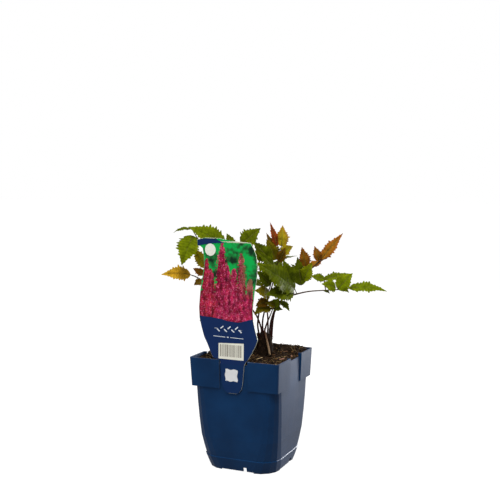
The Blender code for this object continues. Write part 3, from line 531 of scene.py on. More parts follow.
# Teeth: rows of points to a tooth, how far each row reaches, and the size of every other tooth.
TOOTH_ROWS = 4
TOOTH_REACH = (0.0, 0.42, 0.8, 1.0)
SMALL_TOOTH = 0.5
FEWEST_TEETH = 5
TOOTH_PITCH = 0.0062
TOOTH_LEAN = 0.10
TOOTH_FOOT = 0.83
TOOTH_DEPTH = 0.33
BLADE_COLUMNS = 6
BLADE_FOOT = 0.015

# Quilting between the veins and unevenness, in millimetres, and how far the edge droops.
QUILT_HEIGHT = 0.8
QUILT_OFFSET = 0.12
UNEVEN_HEIGHT = 0.5
UNEVEN_SCALE = 130.0
EDGE_DROOP = 0.10

STALK_FOOT = (0.034, 0.007, 0.006)
STALK_HEAD = (0.06, 0.03, 0.006)
STALK_SIDES = 9
STALK_TAPER = 1.15
RIB = (0.2, 0.19, 0.05)
RIB_PLACES = (0.02, 0.2, 0.5, 0.8)
RIB_RADII = (0.6, 0.5, 0.36, 0.24, 0.12)
HAIR_COUNT = 70
HAIR_RADII = (0.07, 0.015)
HAIR_TIP = (0.3, 0.16, 0.07)


def half_width(share):
    """A leaflet's width at a share of its length, as a share of the most."""
    if not 0 < share < 1:
        return 0.0
    oval = math.sin(math.pi * share**OVAL_LEAN) ** OVAL_FULLNESS
    beyond = max(0.0, (share - POINT_START) / (1.0 - POINT_START))
    return oval * (1.0 - POINT_PULL * beyond**POINT_CURVE)


def blade_frame(base, tip, tilt):
    """A leaflet's length, sideways direction and face, which tilts from up towards the viewer."""
    along = tip - base
    turned = math.radians(tilt)
    towards = to_world(0.0, -1.0, 0.0).normalized()
    face = UP * math.cos(turned) + towards * math.sin(turned)
    unit = along.normalized()
    face = (face - unit * face.dot(unit)).normalized()
    return along, unit.cross(face), face


def blade_point(base, frame_of, share, sideways, half, arch):
    along, side, face = frame_of
    length = along.length
    lift = arch * length * 4 * share * (1 - share) + abs(sideways) * FOLD
    offset = RIPPLE_OFFSET if sideways > 0 else 0.0
    ripple = math.sin(share * RIPPLE_TURNS + offset) * RIPPLE * abs(sideways) / half
    return base + along * share + side * sideways + face * (lift + ripple * length)


def blade_half(bm, base, frame_of, half, arch, sign, sizes):
    """One side of a leaflet: lines of (vertex, share of the length, part of the half width)."""
    rows = (len(sizes) - 1) * TOOTH_ROWS
    grid = []
    for k in range(rows + 1):
        tooth, step = divmod(k, TOOTH_ROWS)
        size = (1.0 if tooth % 2 else SMALL_TOOTH) * sizes[tooth]
        start = BLADE_FOOT + (1.0 - BLADE_FOOT) * k / rows
        line = []
        for c in range(BLADE_COLUMNS + 1):
            part = c / BLADE_COLUMNS
            share = min(1.0, start + TOOTH_LEAN * part * (1.0 - start) * min(1.0, start * 8))
            edge = TOOTH_FOOT + TOOTH_DEPTH * TOOTH_REACH[step] * size * part**3
            spread = half * half_width(share) * edge
            point = blade_point(base, frame_of, share, sign * spread * part, half, arch)
            quilt = math.sin(math.pi * (step / TOOTH_ROWS + QUILT_OFFSET)) * (1 - 0.8 * part)
            uneven = noise.noise(point * UNEVEN_SCALE)
            lift = (quilt * QUILT_HEIGHT + uneven * UNEVEN_HEIGHT) * part * MM
            point += frame_of[2] * (lift - EDGE_DROOP * spread * part**3)
            line.append((bm.verts.new(point), share, part))
        grid.append(line)
    return grid


def add_blade(bm, layers, row, draw):
    """A leaflet: a fine folded and quilted sheet with forward teeth."""
    base, tip = to_world(*row[:3]), to_world(*row[3:6])
    width, tilt, arch, tone = row[6:]
    frame_of = blade_frame(base, tip, tilt)
    teeth = FEWEST_TEETH + int(frame_of[0].length / TOOTH_PITCH)
    middle, edge = (Vector(c) for c in TONES[tone])
    warmth = draw.uniform(0.85, 1.15)
    sizes = [[draw.uniform(0.7, 1.3) for _ in range(teeth + 1)] for _ in range(2)]
    for sign, own_sizes in zip((-1, 1), sizes):
        grid = blade_half(bm, base, frame_of, width * MM / 2, arch, sign, own_sizes)
        for k in range(len(grid) - 1):
            for c in range(BLADE_COLUMNS):
                spots = ((k, c), (k, c + 1), (k + 1, c + 1), (k + 1, c))[::sign]
                face = bm.faces.new([grid[i][j][0] for i, j in spots])
                for loop, (i, j) in zip(face.loops, spots):
                    _, share, part = grid[i][j]
                    mix = min(1.0, 0.65 * part**2 + 0.5 * share**3)
                    loop[layers["uv"]].uv = (i / TOOTH_ROWS, sign * part)
                    loop[layers["tint"]] = (*(middle.lerp(edge, mix) * warmth), 1.0)


def add_hairs(bm, layers, path, radii, draw):
    for _ in range(HAIR_COUNT):
        place = draw.uniform(0.12, 0.98) * (len(path) - 1)
        i = int(place)
        point = path[i].lerp(path[i + 1], place - i)
        along = (path[i + 1] - path[i]).normalized()
        out = along.orthogonal().normalized()
        out.rotate(Matrix.Rotation(draw.uniform(0, 2 * math.pi), 3, along))
        lean = (out + along * draw.uniform(-0.2, 0.7)).normalized()
        root = point + out * radii[i] * 0.9 * MM
        tip = root + lean * draw.uniform(0.5, 1.3) * MM
        add_tube(bm, layers, [root, tip], HAIR_RADII, 3, (STALK_HEAD, HAIR_TIP), 1)


def make_frond(name, knots, leaflets, materials, draw):
    bm, layers = new_mesh()
    knots = [to_world(*p) for p in knots]
    path = [knots[0]] + smooth_path(knots[1:], per_span=5)
    count = len(path) - 1
    thick = THICK_STALKS.get(name, STALK_RADIUS)
    shares = [min(1.0, i / count * STALK_TAPER) for i in range(count + 1)]
    radii = [thick + (STALK_TIP_RADIUS - thick) * share for share in shares]
    add_tube(bm, layers, path, radii, STALK_SIDES, (STALK_FOOT, STALK_HEAD), 1)
    add_hairs(bm, layers, path, radii, draw)
    for row in leaflets:
        add_blade(bm, layers, row, draw)
        width, tilt, arch = row[6:9]
        foot = to_world(*row[:3])
        frame_of = blade_frame(foot, to_world(*row[3:6]), tilt)
        joint = min(path[1:], key=lambda p: (p - foot).length)
        rib = [blade_point(foot, frame_of, share, 0.0, width * MM / 2, arch) for share in RIB_PLACES]
        add_tube(bm, layers, [joint] + rib, RIB_RADII, 6, (STALK_HEAD, RIB), 1)
    obj = new_piece(f"fine_{name}", bm, materials)
    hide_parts(name)


# Soil and crown

# Lumps in the peat, coarse and fine: (size, rise, which slice of the noise).
LUMPS = ((13.0, 2.2, 3.0), (5.5, 1.5, 9.0))
FINE_LUMPS = ((2.6, 0.9, 20.0), (1.2, 0.45, 30.0))

# How far the peat reaches from the middle, also behind a label bay, and where its sides end.
SOIL_HALF = 53.1
SOIL_HALF_AT_BAY = 50.3
BAY_MARGIN = 1.6
SOIL_SIDE_FOOT = 112.0
SOIL_CELLS = 108

PEAT = ((0.006, 0.0045, 0.0035), (0.016, 0.01, 0.007), (0.034, 0.02, 0.012), (0.01, 0.007, 0.005))
FIBRE = ((0.09, 0.045, 0.02), (0.13, 0.07, 0.03), (0.05, 0.026, 0.014), (0.24, 0.16, 0.07))

CRUMB_COUNT = 1500
CRUMB_REACH = 0.97
CRUMB_SIZES = (0.4, 0.5, 0.6, 0.8, 1.1, 1.5)
PEAT_CRUMB_SHARE = 0.86
FIBRE_COUNT = 420
FIBRE_REACH = 0.94
FIBRE_LIMIT = 50.0
FIBRE_STEPS = 5
FIBRE_RADII = (0.09, 0.12, 0.16, 0.24)

# Bark chips and straws on the peat: x, y, turn, length, width, colour.
CHIPS = (
    (41.0, -10.0, 0.9, 7.0, 2.6, (0.33, 0.17, 0.12)),
    (20.0, -26.0, 1.2, 9.0, 1.2, (0.42, 0.3, 0.16)),
    (33.0, 22.0, 0.3, 6.0, 2.4, (0.14, 0.07, 0.04)),
    (46.0, 8.0, 2.0, 6.5, 2.0, (0.2, 0.1, 0.06)),
    (29.0, -38.0, 0.5, 8.0, 1.6, (0.12, 0.06, 0.035)),
    (-30.0, -30.0, 2.4, 7.0, 2.2, (0.13, 0.07, 0.04)),
    (-38.0, 12.0, 1.0, 6.0, 1.8, (0.3, 0.2, 0.12)),
    (-12.0, 36.0, 0.2, 8.0, 2.2, (0.12, 0.06, 0.03)),
    (8.0, -40.0, 2.9, 6.0, 1.4, (0.25, 0.14, 0.08)),
)
CHIP_STEPS = 5
CHIP_LIFT = 1.0
CHIP_RISE = 0.8
# A chip's section: (share of its width, height).
CHIP_SECTION = ((-0.5, 0.0), (0.5, 0.12), (0.5, 0.45), (-0.5, 0.35))

# The crown's outline: (height, share of its radius).
CROWN_OUTLINE = (
    (CROWN_FOOT, 0.72), (119.0, 0.92), (128.0, 1.0), (137.0, 0.97), (145.0, 0.96), (CROWN_TOP, 0.86),
)
CROWN_SIDES = 64
CROWN_LEVELS = 26
CROWN_HEAD_RINGS = 6
CROWN_HEAD_RADIUS = CROWN_RADIUS * 0.86 * 0.92
CROWN_HEAD_RISE = 2.0
CROWN_BARK = ((0.006, 0.004, 0.003), (0.024, 0.014, 0.009))
CROWN_FIBRE_COUNT = 150
CROWN_FIBRE_RADII = (0.16, 0.14, 0.11, 0.06)

# Stubs of old stems round the crown's head: (angle, outward lean, length, radius).
STUBS = ((0.4, 1.0, 9.0, 1.3), (2.3, 2.0, 7.0, 1.5), (4.0, 0.5, 8.0, 1.2), (5.3, 2.2, 6.0, 1.4))
STUB_FOOT = 145.0
STUB_RING = 8.4
STUB_STEPS = 5
STUB_COLOURS = ((0.02, 0.012, 0.008), (0.05, 0.028, 0.016))

# A dry stalk that leans on the crown's front: (across, away, up) from the peat upwards.
OLD_STALK = ((20.0, -12.5, 129), (18.2, -11.2, 139), (15.6, -10.2, 150), (13.8, -9.6, 160))
OLD_STALK_RADIUS = 1.3
OLD_STALK_TAPER = 0.5
OLD_STALK_COLOURS = ((0.36, 0.24, 0.14), (0.05, 0.01, 0.008))


def lumps(x, y, rows):
    return sum(noise.noise(Vector((x, y, slice_at)) / size) * rise for size, rise, slice_at in rows)


def soil_height(x, y):
    heap = 0.0
    for across, away, rise, spread in HEAPS:
        top = to_world(across, away, 0.0) / MM
        heap += rise * math.exp(-((x - top.x) ** 2 + (y - top.y) ** 2) / (2 * spread**2))
    return SOIL_LEVEL + heap + lumps(x, y, LUMPS) + lumps(x, y, FINE_LUMPS)


def soil_reach(across):
    return SOIL_HALF_AT_BAY if abs(across) < BAY_WIDTH / 2 + BAY_MARGIN else SOIL_HALF


def soil_point(u, v):
    """A point of the peat's top; u and v go from -1 to 1."""
    x, y = u * SOIL_HALF, v * SOIL_HALF
    x = clamp(x, -soil_reach(y), soil_reach(y))
    y = clamp(y, -soil_reach(x), soil_reach(x))
    return x, y


def soil_anywhere(reach, draw):
    return soil_point(draw.uniform(-reach, reach), draw.uniform(-reach, reach))


def make_soil(material, draw):
    """The peat's lumpy top with short sides, and the crumbs, fibres and chips on it."""
    bm, layers = new_mesh()
    grid = []
    for i in range(SOIL_CELLS + 1):
        line = []
        for j in range(SOIL_CELLS + 1):
            x, y = soil_point(2 * i / SOIL_CELLS - 1, 2 * j / SOIL_CELLS - 1)
            line.append(bm.verts.new(Vector((x, y, soil_height(x, y))) * MM))
        grid.append(line)
    sheet_faces(bm, grid)
    edges = [e for e in bm.edges if e.is_boundary]
    sides = bmesh.ops.extrude_edge_only(bm, edges=edges)["geom"]
    for vert in sides:
        if isinstance(vert, bmesh.types.BMVert):
            vert.co.z = SOIL_SIDE_FOOT * MM
    darkest, lightest = Vector(PEAT[0]), Vector(PEAT[2])
    for face in bm.faces:
        pick = noise.noise(face.calc_center_median() / MM / 3.1) * 0.5 + 0.5
        paint(layers, [face], darkest.lerp(lightest, clamp(pick * 1.4 - 0.2, 0.0, 1.0)))
    bmesh.ops.remove_doubles(bm, verts=bm.verts, dist=1e-6)
    surface = new_piece("peat_surface", bm, [material])
    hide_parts("soil")
    scatter_crumbs(material, draw)
    scatter_fibres(material, draw)


def scatter_crumbs(material, draw):
    bm, layers = new_mesh()
    for _ in range(CRUMB_COUNT):
        x, y = soil_anywhere(CRUMB_REACH, draw)
        size = draw.choice(CRUMB_SIZES) * draw.uniform(0.8, 1.3)
        place = Vector((x, y, soil_height(x, y) + size * 0.25)) * MM
        made = bmesh.ops.create_icosphere(bm, subdivisions=1, radius=size * MM)["verts"]
        stretch = Vector((draw.uniform(0.7, 1.4), draw.uniform(0.7, 1.4), draw.uniform(0.5, 0.9)))
        for vert in made:
            rough = 1.0 + 0.35 * noise.noise(vert.co * 900.0 + place * 50.0)
            vert.co = vert.co * stretch * rough + place
        colour = draw.choice(PEAT if draw.random() < PEAT_CRUMB_SHARE else FIBRE)
        paint(layers, {f for v in made for f in v.link_faces}, colour)
    crumbs = new_piece("peat_crumbs", bm, [material])


def scatter_fibres(material, draw):
    bm, layers = new_mesh()
    for index in range(FIBRE_COUNT):
        x, y = soil_anywhere(FIBRE_REACH, draw)
        turn = draw.uniform(0, 2 * math.pi)
        length = draw.uniform(3.0, 11.0)
        lift = draw.uniform(0.2, 1.2) if index % 3 else draw.uniform(1.0, 2.6)
        points = []
        for k in range(FIBRE_STEPS + 1):
            s = k / FIBRE_STEPS
            px = clamp(x + math.cos(turn) * length * (s - 0.5), -FIBRE_LIMIT, FIBRE_LIMIT)
            py = clamp(y + math.sin(turn) * length * (s - 0.5), -FIBRE_LIMIT, FIBRE_LIMIT)
            turn += draw.uniform(-0.5, 0.5)
            points.append(Vector((px, py, soil_height(px, py) + 0.3 + lift * 4 * s * (1 - s))) * MM)
        radii = [draw.choice(FIBRE_RADII)] * len(points)
        colour = draw.choice(FIBRE)
        add_tube(bm, layers, points, radii, 4, (colour, colour))
    for row in CHIPS:
        add_chip(bm, layers, *row)
    fibres = new_piece("peat_fibres", bm, [material])


def add_chip(bm, layers, x, y, turn, length, width, colour):
    reach = spoke(turn)
    aside = Vector((-reach.y, reach.x, 0.0))
    foot = Vector((x, y, soil_height(x, y) + CHIP_LIFT))
    rings = []
    for k in range(CHIP_STEPS + 1):
        s = k / CHIP_STEPS
        wide = width * (0.55 + 0.9 * s * (1 - s) * 2)
        centre = foot + UP * CHIP_RISE * s + reach * length * (s - 0.5)
        points = [centre + aside * a * wide + UP * b for a, b in CHIP_SECTION]
        rings.append([bm.verts.new(point * MM) for point in points])
    paint(layers, skin_faces(bm, rings), colour)


def crown_rings(centre):
    """Rings of points from the crown's foot up, and on to the middle of its head."""
    rings = []
    for level in range(CROWN_LEVELS + 1):
        height = CROWN_FOOT + (CROWN_TOP - CROWN_FOOT) * level / CROWN_LEVELS
        share = between(CROWN_OUTLINE, height)[0]
        ring = []
        for turn in around(CROWN_SIDES):
            lump = 0.9 + 0.1 * noise.noise(Vector((turn.x * 2.2, turn.y * 2.2, height / 5.0)))
            ridge = 0.05 * noise.noise(Vector((turn.x * 9.0, turn.y * 9.0, height / 9.0)))
            ring.append(centre + turn * CROWN_RADIUS * share * (lump + ridge) + UP * height)
        rings.append(ring)
    for level in range(1, CROWN_HEAD_RINGS):
        share = 1.0 - level / CROWN_HEAD_RINGS
        spots = [turn * CROWN_HEAD_RADIUS * share for turn in around(CROWN_SIDES)]
        rises = [CROWN_HEAD_RISE * (1 - share**2) + 1.1 * noise.noise(spot / 2.1) for spot in spots]
        rings.append([centre + spot + UP * (CROWN_TOP + rise) for spot, rise in zip(spots, rises)])
    return rings


def add_crown_fibres(bm, layers, centre, draw):
    for _ in range(CROWN_FIBRE_COUNT):
        angle = draw.uniform(0, 2 * math.pi)
        height = draw.uniform(121.0, 149.0)
        reach = spoke(angle)
        foot = centre + UP * height + reach * CROWN_RADIUS * 0.86
        points = [foot * MM]
        for _ in CROWN_FIBRE_RADII[1:]:
            swing = Vector((draw.uniform(-0.4, 0.4), draw.uniform(-0.4, 0.4), draw.uniform(0.5, 1.4)))
            foot = foot + swing + reach * draw.uniform(-0.1, 0.45)
            points.append(foot * MM)
        colour = draw.choice(FIBRE[:3])
        add_tube(bm, layers, points, CROWN_FIBRE_RADII, 4, (colour, colour))


def add_stubs(bm, layers, centre, draw):
    for angle, lean, length, radius in STUBS:
        reach = spoke(angle)
        foot = centre + UP * STUB_FOOT + reach * STUB_RING
        head = foot + reach * lean + UP * length
        points = [foot.lerp(head, k / STUB_STEPS) * MM for k in range(STUB_STEPS + 1)]
        radii = [radius * (1 - 0.04 * k) * draw.uniform(0.92, 1.06) for k in range(STUB_STEPS + 1)]
        add_tube(bm, layers, points, radii, 10, STUB_COLOURS)


def make_crown(material, draw):
    """The woody crown with ridged bark, brown fibres, stubs of old stems and a dry stalk."""
    centre = to_world(*CROWN_CENTRE, 0.0) / MM
    bm, layers = new_mesh()
    rings = [[bm.verts.new(point * MM) for point in ring] for ring in crown_rings(centre)]
    dark, light = (Vector(c) for c in CROWN_BARK)
    for face in skin_faces(bm, rings):
        pick = noise.noise(face.calc_center_median() / MM / 2.0) * 0.5 + 0.5
        paint(layers, [face], dark.lerp(light, pick))
    add_crown_fibres(bm, layers, centre, draw)
    add_stubs(bm, layers, centre, draw)
    path = smooth_path([to_world(*p) for p in OLD_STALK])
    radii = [OLD_STALK_RADIUS - OLD_STALK_TAPER * k / len(path) for k in range(len(path))]
    add_tube(bm, layers, path, radii, 9, OLD_STALK_COLOURS)
    crown = new_piece("woody_crown", bm, [material])
    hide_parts("crown")


# Label

CARD_ROWS, CARD_COLUMNS = 150, 22
# The label's bridge over the rim and its inner leg: (lowest corner, highest corner).
CARD_BLOCKS = (
    ((-10.5, LABEL_PLANE - 0.3, LABEL_NECK - 0.4), (10.5, -49.6, LABEL_NECK + 0.5)),
    ((-10.4, -50.45, 109.0), (10.4, -49.65, LABEL_NECK + 0.3)),
)

NAVY = (0.007, 0.022, 0.085)
TONGUE_NAVY = (0.006, 0.024, 0.085)
WHITE = (0.7, 0.69, 0.6)
PALE = (0.62, 0.66, 0.7)
DISC_WHITE = (0.7, 0.7, 0.62)
BARE_GREY = (0.66, 0.66, 0.66)
BAR = (0.16, 0.14, 0.11)
FLORETS = (
    (0.34, 0.012, 0.05), (0.44, 0.02, 0.085), (0.5, 0.045, 0.15), (0.27, 0.008, 0.03),
    (0.6, 0.13, 0.22), (0.18, 0.006, 0.025), (0.4, 0.05, 0.045),
)
SHADE = (0.16, 0.006, 0.022)
CRIMSON = (0.4, 0.014, 0.03)
MAGENTA = (0.36, 0.012, 0.075)
FADED = (0.16, 0.13, 0.05)
# Left of this the florets are crimson, and right of it magenta.
CRIMSON_EDGE = -22.0
# Florets grow between these heights also beside the plumes.
THICKET_FOOT, THICKET_TOP = 174.0, 206.0

TONGUE_FOOT = 92.9
EDGE_MARGIN = 0.22
PANEL_MARGIN = 0.25
TONGUE_MARGIN = 0.08
# A round disc (x, height, radius), and plain bars (left, right, foot, top).
DISC = (-29.4, 253.4, 6.9)
DISC_SIDES = 40
BARS = (-16.4, 9.6, 134.0, 147.6)
BAR_WIDTHS = (0.3, 0.3, 0.5, 0.7)
BAR_SPACES = (0.35, 0.5, 0.8)
# Plain rules (left, height, right, height, thickness), and a sprig of leaves along the first one.
RULES = (
    (-23.5, 165.4, 9.5, 164.6, 0.45),
    (-25.0, 156.4, -10.0, 156.0, 0.6),
    (-4.0, 155.9, 12.0, 155.4, 0.6),
    (-8.0, 156.0, -6.0, 155.9, 1.2),
)
SPRIG_START, SPRIG_STEP, SPRIG_HEIGHT, SPRIG_LEAVES = -20.5, 4.5, 165.1, 7


def label_depth(x, height):
    """How far back the card is: it leans back and bows forward above the neck."""
    above = max(0.0, height - LABEL_NECK - 3.0)
    share = min(1.0, above / 135.0)
    bow = 3.0 * share * (1.0 - ((x + 16.0 * share) / 32.0) ** 2)
    return LABEL_PLANE + 5.0 * share - bow


def panel_top(x):
    for (x0, z0), (x1, z1) in zip(PANEL_TOP, PANEL_TOP[1:]):
        if x0 <= x <= x1:
            share = (x - x0) / (x1 - x0)
            return z0 + (z1 - z0) * share * share * (3 - 2 * share)
    return PANEL_TOP[0][1] if x < PANEL_TOP[0][0] else PANEL_TOP[-1][1]


def on_label(x, height, lift):
    return Vector((x, label_depth(x, height) - LABEL_THICKNESS / 2 - lift, height)) * MM


def within(height, share, margin=EDGE_MARGIN):
    """An x on the label: a share of 0 is near its left edge and 1 near its right edge."""
    left, right = between(LABEL_EDGES, height)
    return left + margin + (right - left - 2 * margin) * share


def add_patch(bm, layers, corner, columns, rows, colour, lift, slot=0):
    """A printed area. corner(u, v) gives its x and height."""
    grid = []
    for i in range(columns + 1):
        spots = [corner(i / columns, j / rows) for j in range(rows + 1)]
        grid.append([bm.verts.new(on_label(x, height, lift)) for x, height in spots])
    faces = sheet_faces(bm, grid)
    for face in faces:
        face.material_index = slot
    paint(layers, faces, colour)


def add_print(bm, layers, points, colour):
    paint(layers, [bm.faces.new([bm.verts.new(point) for point in points])], colour)


def rim(grid):
    right, left = [line[-1] for line in grid[1:]], [line[0] for line in grid[-2:0:-1]]
    return grid[0] + right + grid[-1][-2::-1] + left


def make_card(material):
    """The label's bent card with its tongue, the bridge over the rim and the inner leg."""
    bm = bmesh.new()
    low, high = LABEL_EDGES[0][0], LABEL_EDGES[-1][0]
    front, back = [], []
    for j in range(CARD_ROWS + 1):
        height = low + (high - low) * j / CARD_ROWS
        left, right = between(LABEL_EDGES, height)
        across = [left + (right - left) * i / CARD_COLUMNS for i in range(CARD_COLUMNS + 1)]
        front.append([bm.verts.new(on_label(x, height, 0.0)) for x in across])
        back.append([bm.verts.new(on_label(x, height, -LABEL_THICKNESS)) for x in across])
    sheet_faces(bm, [line[::-1] for line in front])
    sheet_faces(bm, back)
    pairs = list(zip(rim(front), rim(back)))
    for (a, b), (c, d) in zip(pairs, pairs[1:] + pairs[:1]):
        bm.faces.new((a, b, d, c))
    for lowest, highest in CARD_BLOCKS:
        for vert in bmesh.ops.create_cube(bm, size=1.0)["verts"]:
            share = vert.co + Vector((0.5, 0.5, 0.5))
            vert.co = (Vector(lowest) + share * (Vector(highest) - Vector(lowest))) * MM
    label = new_piece("label_card", bm, [material])
    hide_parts("label")


def make_print(printed, picture, draw):
    bm, layers = new_mesh()
    print_ground(bm, layers)
    print_florets(bm, layers, draw)
    print_panels(bm, layers)
    print_marks(bm, layers, draw)
    sheet = new_piece("label_print", bm, [printed, picture])


def plume_outline(foot_x, foot_z, tip_x, tip_z, spread):
    def corner(u, v):
        height = foot_z + (tip_z - foot_z) * v
        ragged = 0.8 + 0.5 * noise.noise(Vector((height / 2.3, foot_x, 4.0 if u > 0.5 else 8.0)))
        wide = (spread * (1 - v) ** PLUME_TAPER + 0.3) * ragged
        x = foot_x + (tip_x - foot_x) * v + (2 * u - 1) * wide
        return clamp(x, within(height, 0.0), within(height, 1.0)), height

    return corner


def print_ground(bm, layers):
    """The picture's green ground, with a dark thicket and the dark shape of each plume."""
    top = LABEL_EDGES[-1][0] - 0.3

    def ground(u, v):
        height = LABEL_WAIST + (top - LABEL_WAIST) * v
        return within(height, u), height

    def thicket(u, v):
        x = within(200.0, u)
        foot = panel_top(x)
        head = 196.0 + 16.0 * noise.noise(Vector((x / 4.0, 0.0, 5.0)))
        height = foot + (head - foot) * v
        return within(height, u), height

    add_patch(bm, layers, ground, 12, 60, SHADE, PICTURE_LIFT, 1)
    add_patch(bm, layers, thicket, 60, 12, SHADE, SHADE_LIFT)
    for index, plume in enumerate(PLUMES, 1):
        add_patch(bm, layers, plume_outline(*plume), 4, 70, SHADE, SHADE_LIFT + 0.004 * index)


def floret_place(index, draw):
    """Three florets in four grow on a plume, and the others anywhere in the thicket."""
    if index % 4:
        foot_x, foot_z, tip_x, tip_z, spread = draw.choice(PLUMES)
        share = draw.random() ** 1.15
        wide = spread * (1 - share) ** PLUME_TAPER + 0.7
        x = foot_x + (tip_x - foot_x) * share + clamp(draw.gauss(0, 0.55), -1.1, 1.1) * wide
        return x, foot_z + (tip_z - foot_z) * share
    height = draw.uniform(THICKET_FOOT, THICKET_TOP)
    return within(height, draw.random()), height


def floret_colour(x, height, draw):
    """Crimson to the left, magenta to the right, and faded at the top right."""
    towards = Vector(CRIMSON if x < CRIMSON_EDGE else MAGENTA)
    patchy = 0.8 + noise.noise(Vector((x / 3.5, height / 7.0, 2.0)))
    colour = Vector(draw.choice(FLORETS)).lerp(towards, 0.3) * patchy
    faded = clamp((x - 4.0) / 14.0, 0.0, 0.75) * clamp((height - 200.0) / 20.0, 0.0, 1.0)
    return colour.lerp(Vector(FADED), faded)


def print_florets(bm, layers, draw):
    for index in range(FLORET_COUNT):
        x, height = floret_place(index, draw)
        size = draw.uniform(0.35, 0.95)
        margin = size + 0.8
        if not within(height, 0.0, margin) < x < within(height, 1.0, margin) or height < panel_top(x):
            continue
        colour = floret_colour(x, height, draw)
        turn = draw.uniform(0, math.pi)
        lift = FLORET_LIFT + 0.05 * draw.random()
        points = []
        for k in range(6):
            angle = turn + k * math.pi / 3
            reach = size * draw.uniform(0.6, 1.2)
            points.append(on_label(x + math.cos(angle) * reach, height + math.sin(angle) * reach, lift))
        add_print(bm, layers, points, colour)


def print_panels(bm, layers):
    """The navy panel, tongue and arched band, a bare patch, and the bars' white patch."""
    def panel(u, v):
        foot = LABEL_WAIST - 0.6
        height = foot + (panel_top(within(176.0, u)) - foot) * v
        return within(height, u, PANEL_MARGIN), height

    def tongue(u, v):
        height = TONGUE_FOOT + (LABEL_WAIST - TONGUE_FOOT) * v
        return within(height, u, TONGUE_MARGIN), height

    def arch_band(u, v):
        x = -46.6 + 37.0 * u
        top = 264.2 + 2.0 * math.sin(math.pi * min(1.0, u * 1.25)) - 3.4 * max(0.0, u - 0.72) / 0.28
        foot = 257.2 + 2.2 * math.sin(math.pi * u) + 4.2 * u**2
        return x, foot + (top - foot) * v

    def bare_patch(u, v):
        return -10.0 + 15.0 * u + 0.5 * math.sin(9 * v), 106.4 + 13.4 * v + 0.5 * math.sin(11 * u)

    def bar_patch(u, v):
        return -18.4 + 31.0 * u, 131.2 + 17.6 * v + 1.4 * u * (v - 0.1)

    add_patch(bm, layers, panel, 40, 60, NAVY, PANEL_LIFT)
    add_patch(bm, layers, tongue, 10, 30, TONGUE_NAVY, PANEL_LIFT - 0.01)
    add_patch(bm, layers, arch_band, 30, 6, NAVY, PANEL_LIFT)
    add_patch(bm, layers, bare_patch, 10, 10, BARE_GREY, PATCH_LIFT)
    add_patch(bm, layers, bar_patch, 16, 10, WHITE, PATCH_LIFT)


def print_strip(bm, layers, x0, z0, x1, z1, thick, colour):
    along = Vector((x1 - x0, z1 - z0)).normalized()
    aside = Vector((-along.y, along.x)) * thick / 2
    corners = ((x0 + aside.x, z0 + aside.y), (x0 - aside.x, z0 - aside.y),
               (x1 - aside.x, z1 - aside.y), (x1 + aside.x, z1 + aside.y))
    add_print(bm, layers, [on_label(x, height, MARK_LIFT) for x, height in corners], colour)


def print_marks(bm, layers, draw):
    """Plain bars that encode nothing, a disc, plain rules and a sprig of leaves."""
    at, last, foot, top = BARS
    while at < last:
        wide = draw.choice(BAR_WIDTHS)
        print_strip(bm, layers, at, foot, at, top, wide, BAR)
        at += wide + draw.choice(BAR_SPACES)
    x, height, radius = DISC
    spots = [(x + radius * turn.x, height + radius * turn.y) for turn in around(DISC_SIDES)]
    add_print(bm, layers, [on_label(*spot, PATCH_LIFT) for spot in spots], DISC_WHITE)
    for rule in RULES:
        print_strip(bm, layers, *rule, PALE)
    for k in range(SPRIG_LEAVES):
        x = SPRIG_START + SPRIG_STEP * k
        side = 1 if k % 2 else -1
        ends = (SPRIG_HEIGHT + side * 0.3, SPRIG_HEIGHT + side * 3.1)
        print_strip(bm, layers, x, ends[0], x + 3.4, ends[1], 1.25, PALE)


# Camera, lights and floor

# The camera is a metre from the centre, turned, tipped and moved aside as in the photograph.
CAMERA_YAW = math.radians(23.855)
CAMERA_PITCH = math.radians(4.548)
CAMERA_LENS = 61.16
CAMERA_SENSOR = 36.0
CAMERA_CENTRE = (0.0, 0.0, 0.1)
CAMERA_RIGHT, CAMERA_UP = -0.003006, 0.149758

# Lights: (name, place, size, power, whether gloss shows it, whether it lights dull surfaces).
LIGHTS = (
    ("key", (0.25, -0.45, 1.25), 0.7, 17.0, False, True),
    ("behind", (0.62, 1.3, 0.35), 0.8, 22.0, True, True),
    ("sheen", (0.6, 1.35, 0.1), 1.0, 36.0, True, False),
    ("fill", (-0.9, -1.1, 0.8), 0.8, 7.0, False, True),
)
LIGHT_AIM = (0.0, 0.0, 0.16)
WHITE_LIGHT = (1.0, 1.0, 1.0, 1.0)
WORLD_STRENGTH = 0.42
FLOOR_HALF = 12.0
FLOOR_LEVEL = -0.0002
FLOOR_GREY = (0.16, 0.16, 0.16, 1.0)
# How brightly the floor glows, to the camera and to everything else.
FLOOR_SEEN, FLOOR_BOUNCE = 0.75, 0.2


def make_camera():
    yaw, pitch = CAMERA_YAW, CAMERA_PITCH
    back = Vector((math.sin(yaw) * math.cos(pitch), -math.cos(yaw) * math.cos(pitch), math.sin(pitch)))
    right = spoke(yaw)
    up = back.cross(right)
    camera = bpy.data.cameras.new("camera")
    camera.sensor_width = CAMERA_SENSOR
    camera.lens = CAMERA_LENS
    rig = place_in_scene("camera", camera)
    turn = Matrix((right, up, back)).transposed().to_4x4()
    turn.translation = Vector(CAMERA_CENTRE) + back + right * CAMERA_RIGHT + up * CAMERA_UP
    rig.matrix_world = turn
    bpy.context.scene.camera = rig


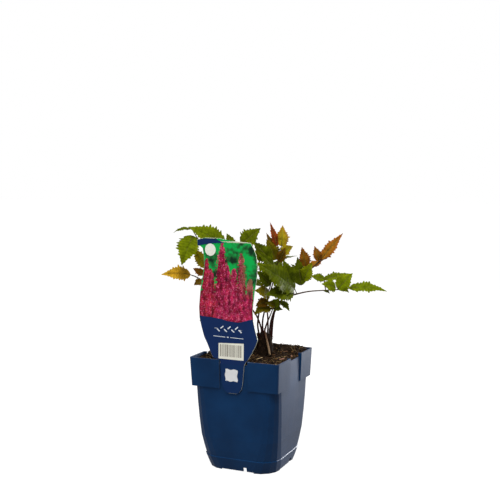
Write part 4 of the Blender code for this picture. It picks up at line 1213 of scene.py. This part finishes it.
def make_lights():
    """Soft lamps, and a white world that the camera sees brighter than it lights."""
    for name, place, size, power, in_gloss, in_diffuse in LIGHTS:
        light = bpy.data.lights.new(name, "AREA")
        light.size = size
        light.energy = power
        lamp = place_in_scene(name, light)
        lamp.location = place
        lamp.visible_glossy = in_gloss
        lamp.visible_diffuse = in_diffuse
        aim = Vector(LIGHT_AIM) - Vector(place)
        lamp.rotation_euler = aim.to_track_quat("-Z", "Y").to_euler()
    world = bpy.data.worlds.new("studio")
    world.use_nodes = True
    tree = world.node_tree
    soft = feed(tree.nodes["Background"], {"Color": WHITE_LIGHT, "Strength": WORLD_STRENGTH})
    seen = add_node(tree, "ShaderNodeBackground", {"Color": WHITE_LIGHT, "Strength": 1.0})
    to_camera = add_node(tree, "ShaderNodeLightPath", {}).outputs["Is Camera Ray"]
    blend = {"Fac": to_camera, 1: soft.outputs["Background"], 2: seen.outputs["Background"]}
    surface = add_node(tree, "ShaderNodeMixShader", blend).outputs["Shader"]
    feed(tree.nodes["World Output"], {"Surface": surface})
    bpy.context.scene.world = world
    bpy.context.scene.view_settings.view_transform = "Standard"


def make_floor():
    bm = bmesh.new()
    bmesh.ops.create_grid(bm, x_segments=1, y_segments=1, size=FLOOR_HALF)
    material, tree, shader = new_material("floor_white", 0.9, 0.0)
    to_camera = add_node(tree, "ShaderNodeLightPath", {}).outputs["Is Camera Ray"]
    glow = math_node(tree, "ADD", math_node(tree, "MULTIPLY", to_camera, FLOOR_SEEN), FLOOR_BOUNCE)
    feed(shader, {"Base Color": FLOOR_GREY, "Emission Color": WHITE_LIGHT, "Emission Strength": glow})
    floor = mesh_object("floor", bm, [material])
    floor.location.z = FLOOR_LEVEL


# The label's plastic and the green of its picture, as colour stops over a noise.
CARD_STOPS = [(0.3, (0.42, 0.43, 0.34)), (0.7, (0.52, 0.52, 0.42))]
GREEN_STOPS = [(0.36, (0.006, 0.025, 0.012)), (0.45, (0.012, 0.12, 0.028)), (0.56, (0.004, 0.33, 0.06))]


def main():
    draw = random.Random(RANDOM_START)
    make_camera()
    make_lights()
    make_floor()
    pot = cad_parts["pot"]
    pot.data.materials.clear()
    pot.data.materials.append(pot_material())
    blade = leaf_material("leaf_blade")
    stalk = tinted_material("leaf_stalk", 0.5, 300.0, 0.5, 0.0001)
    for name, (slot, knots, leaflets) in FRONDS.items():
        make_frond(name, knots, leaflets, [blade, stalk], draw)
    make_soil(tinted_material("peat", 0.95, 420.0, 0.9, 0.0004), draw)
    make_crown(tinted_material("crown_bark", 0.9, 500.0, 0.8, 0.0004), draw)
    make_card(card_material("label_plastic", 60.0, CARD_STOPS))
    picture = card_material("label_green", 110.0, GREEN_STOPS)
    printed = tinted_material("label_ink", 0.3, 90.0, 0.25, 0.00003)
    make_print(printed, picture, draw)


main()
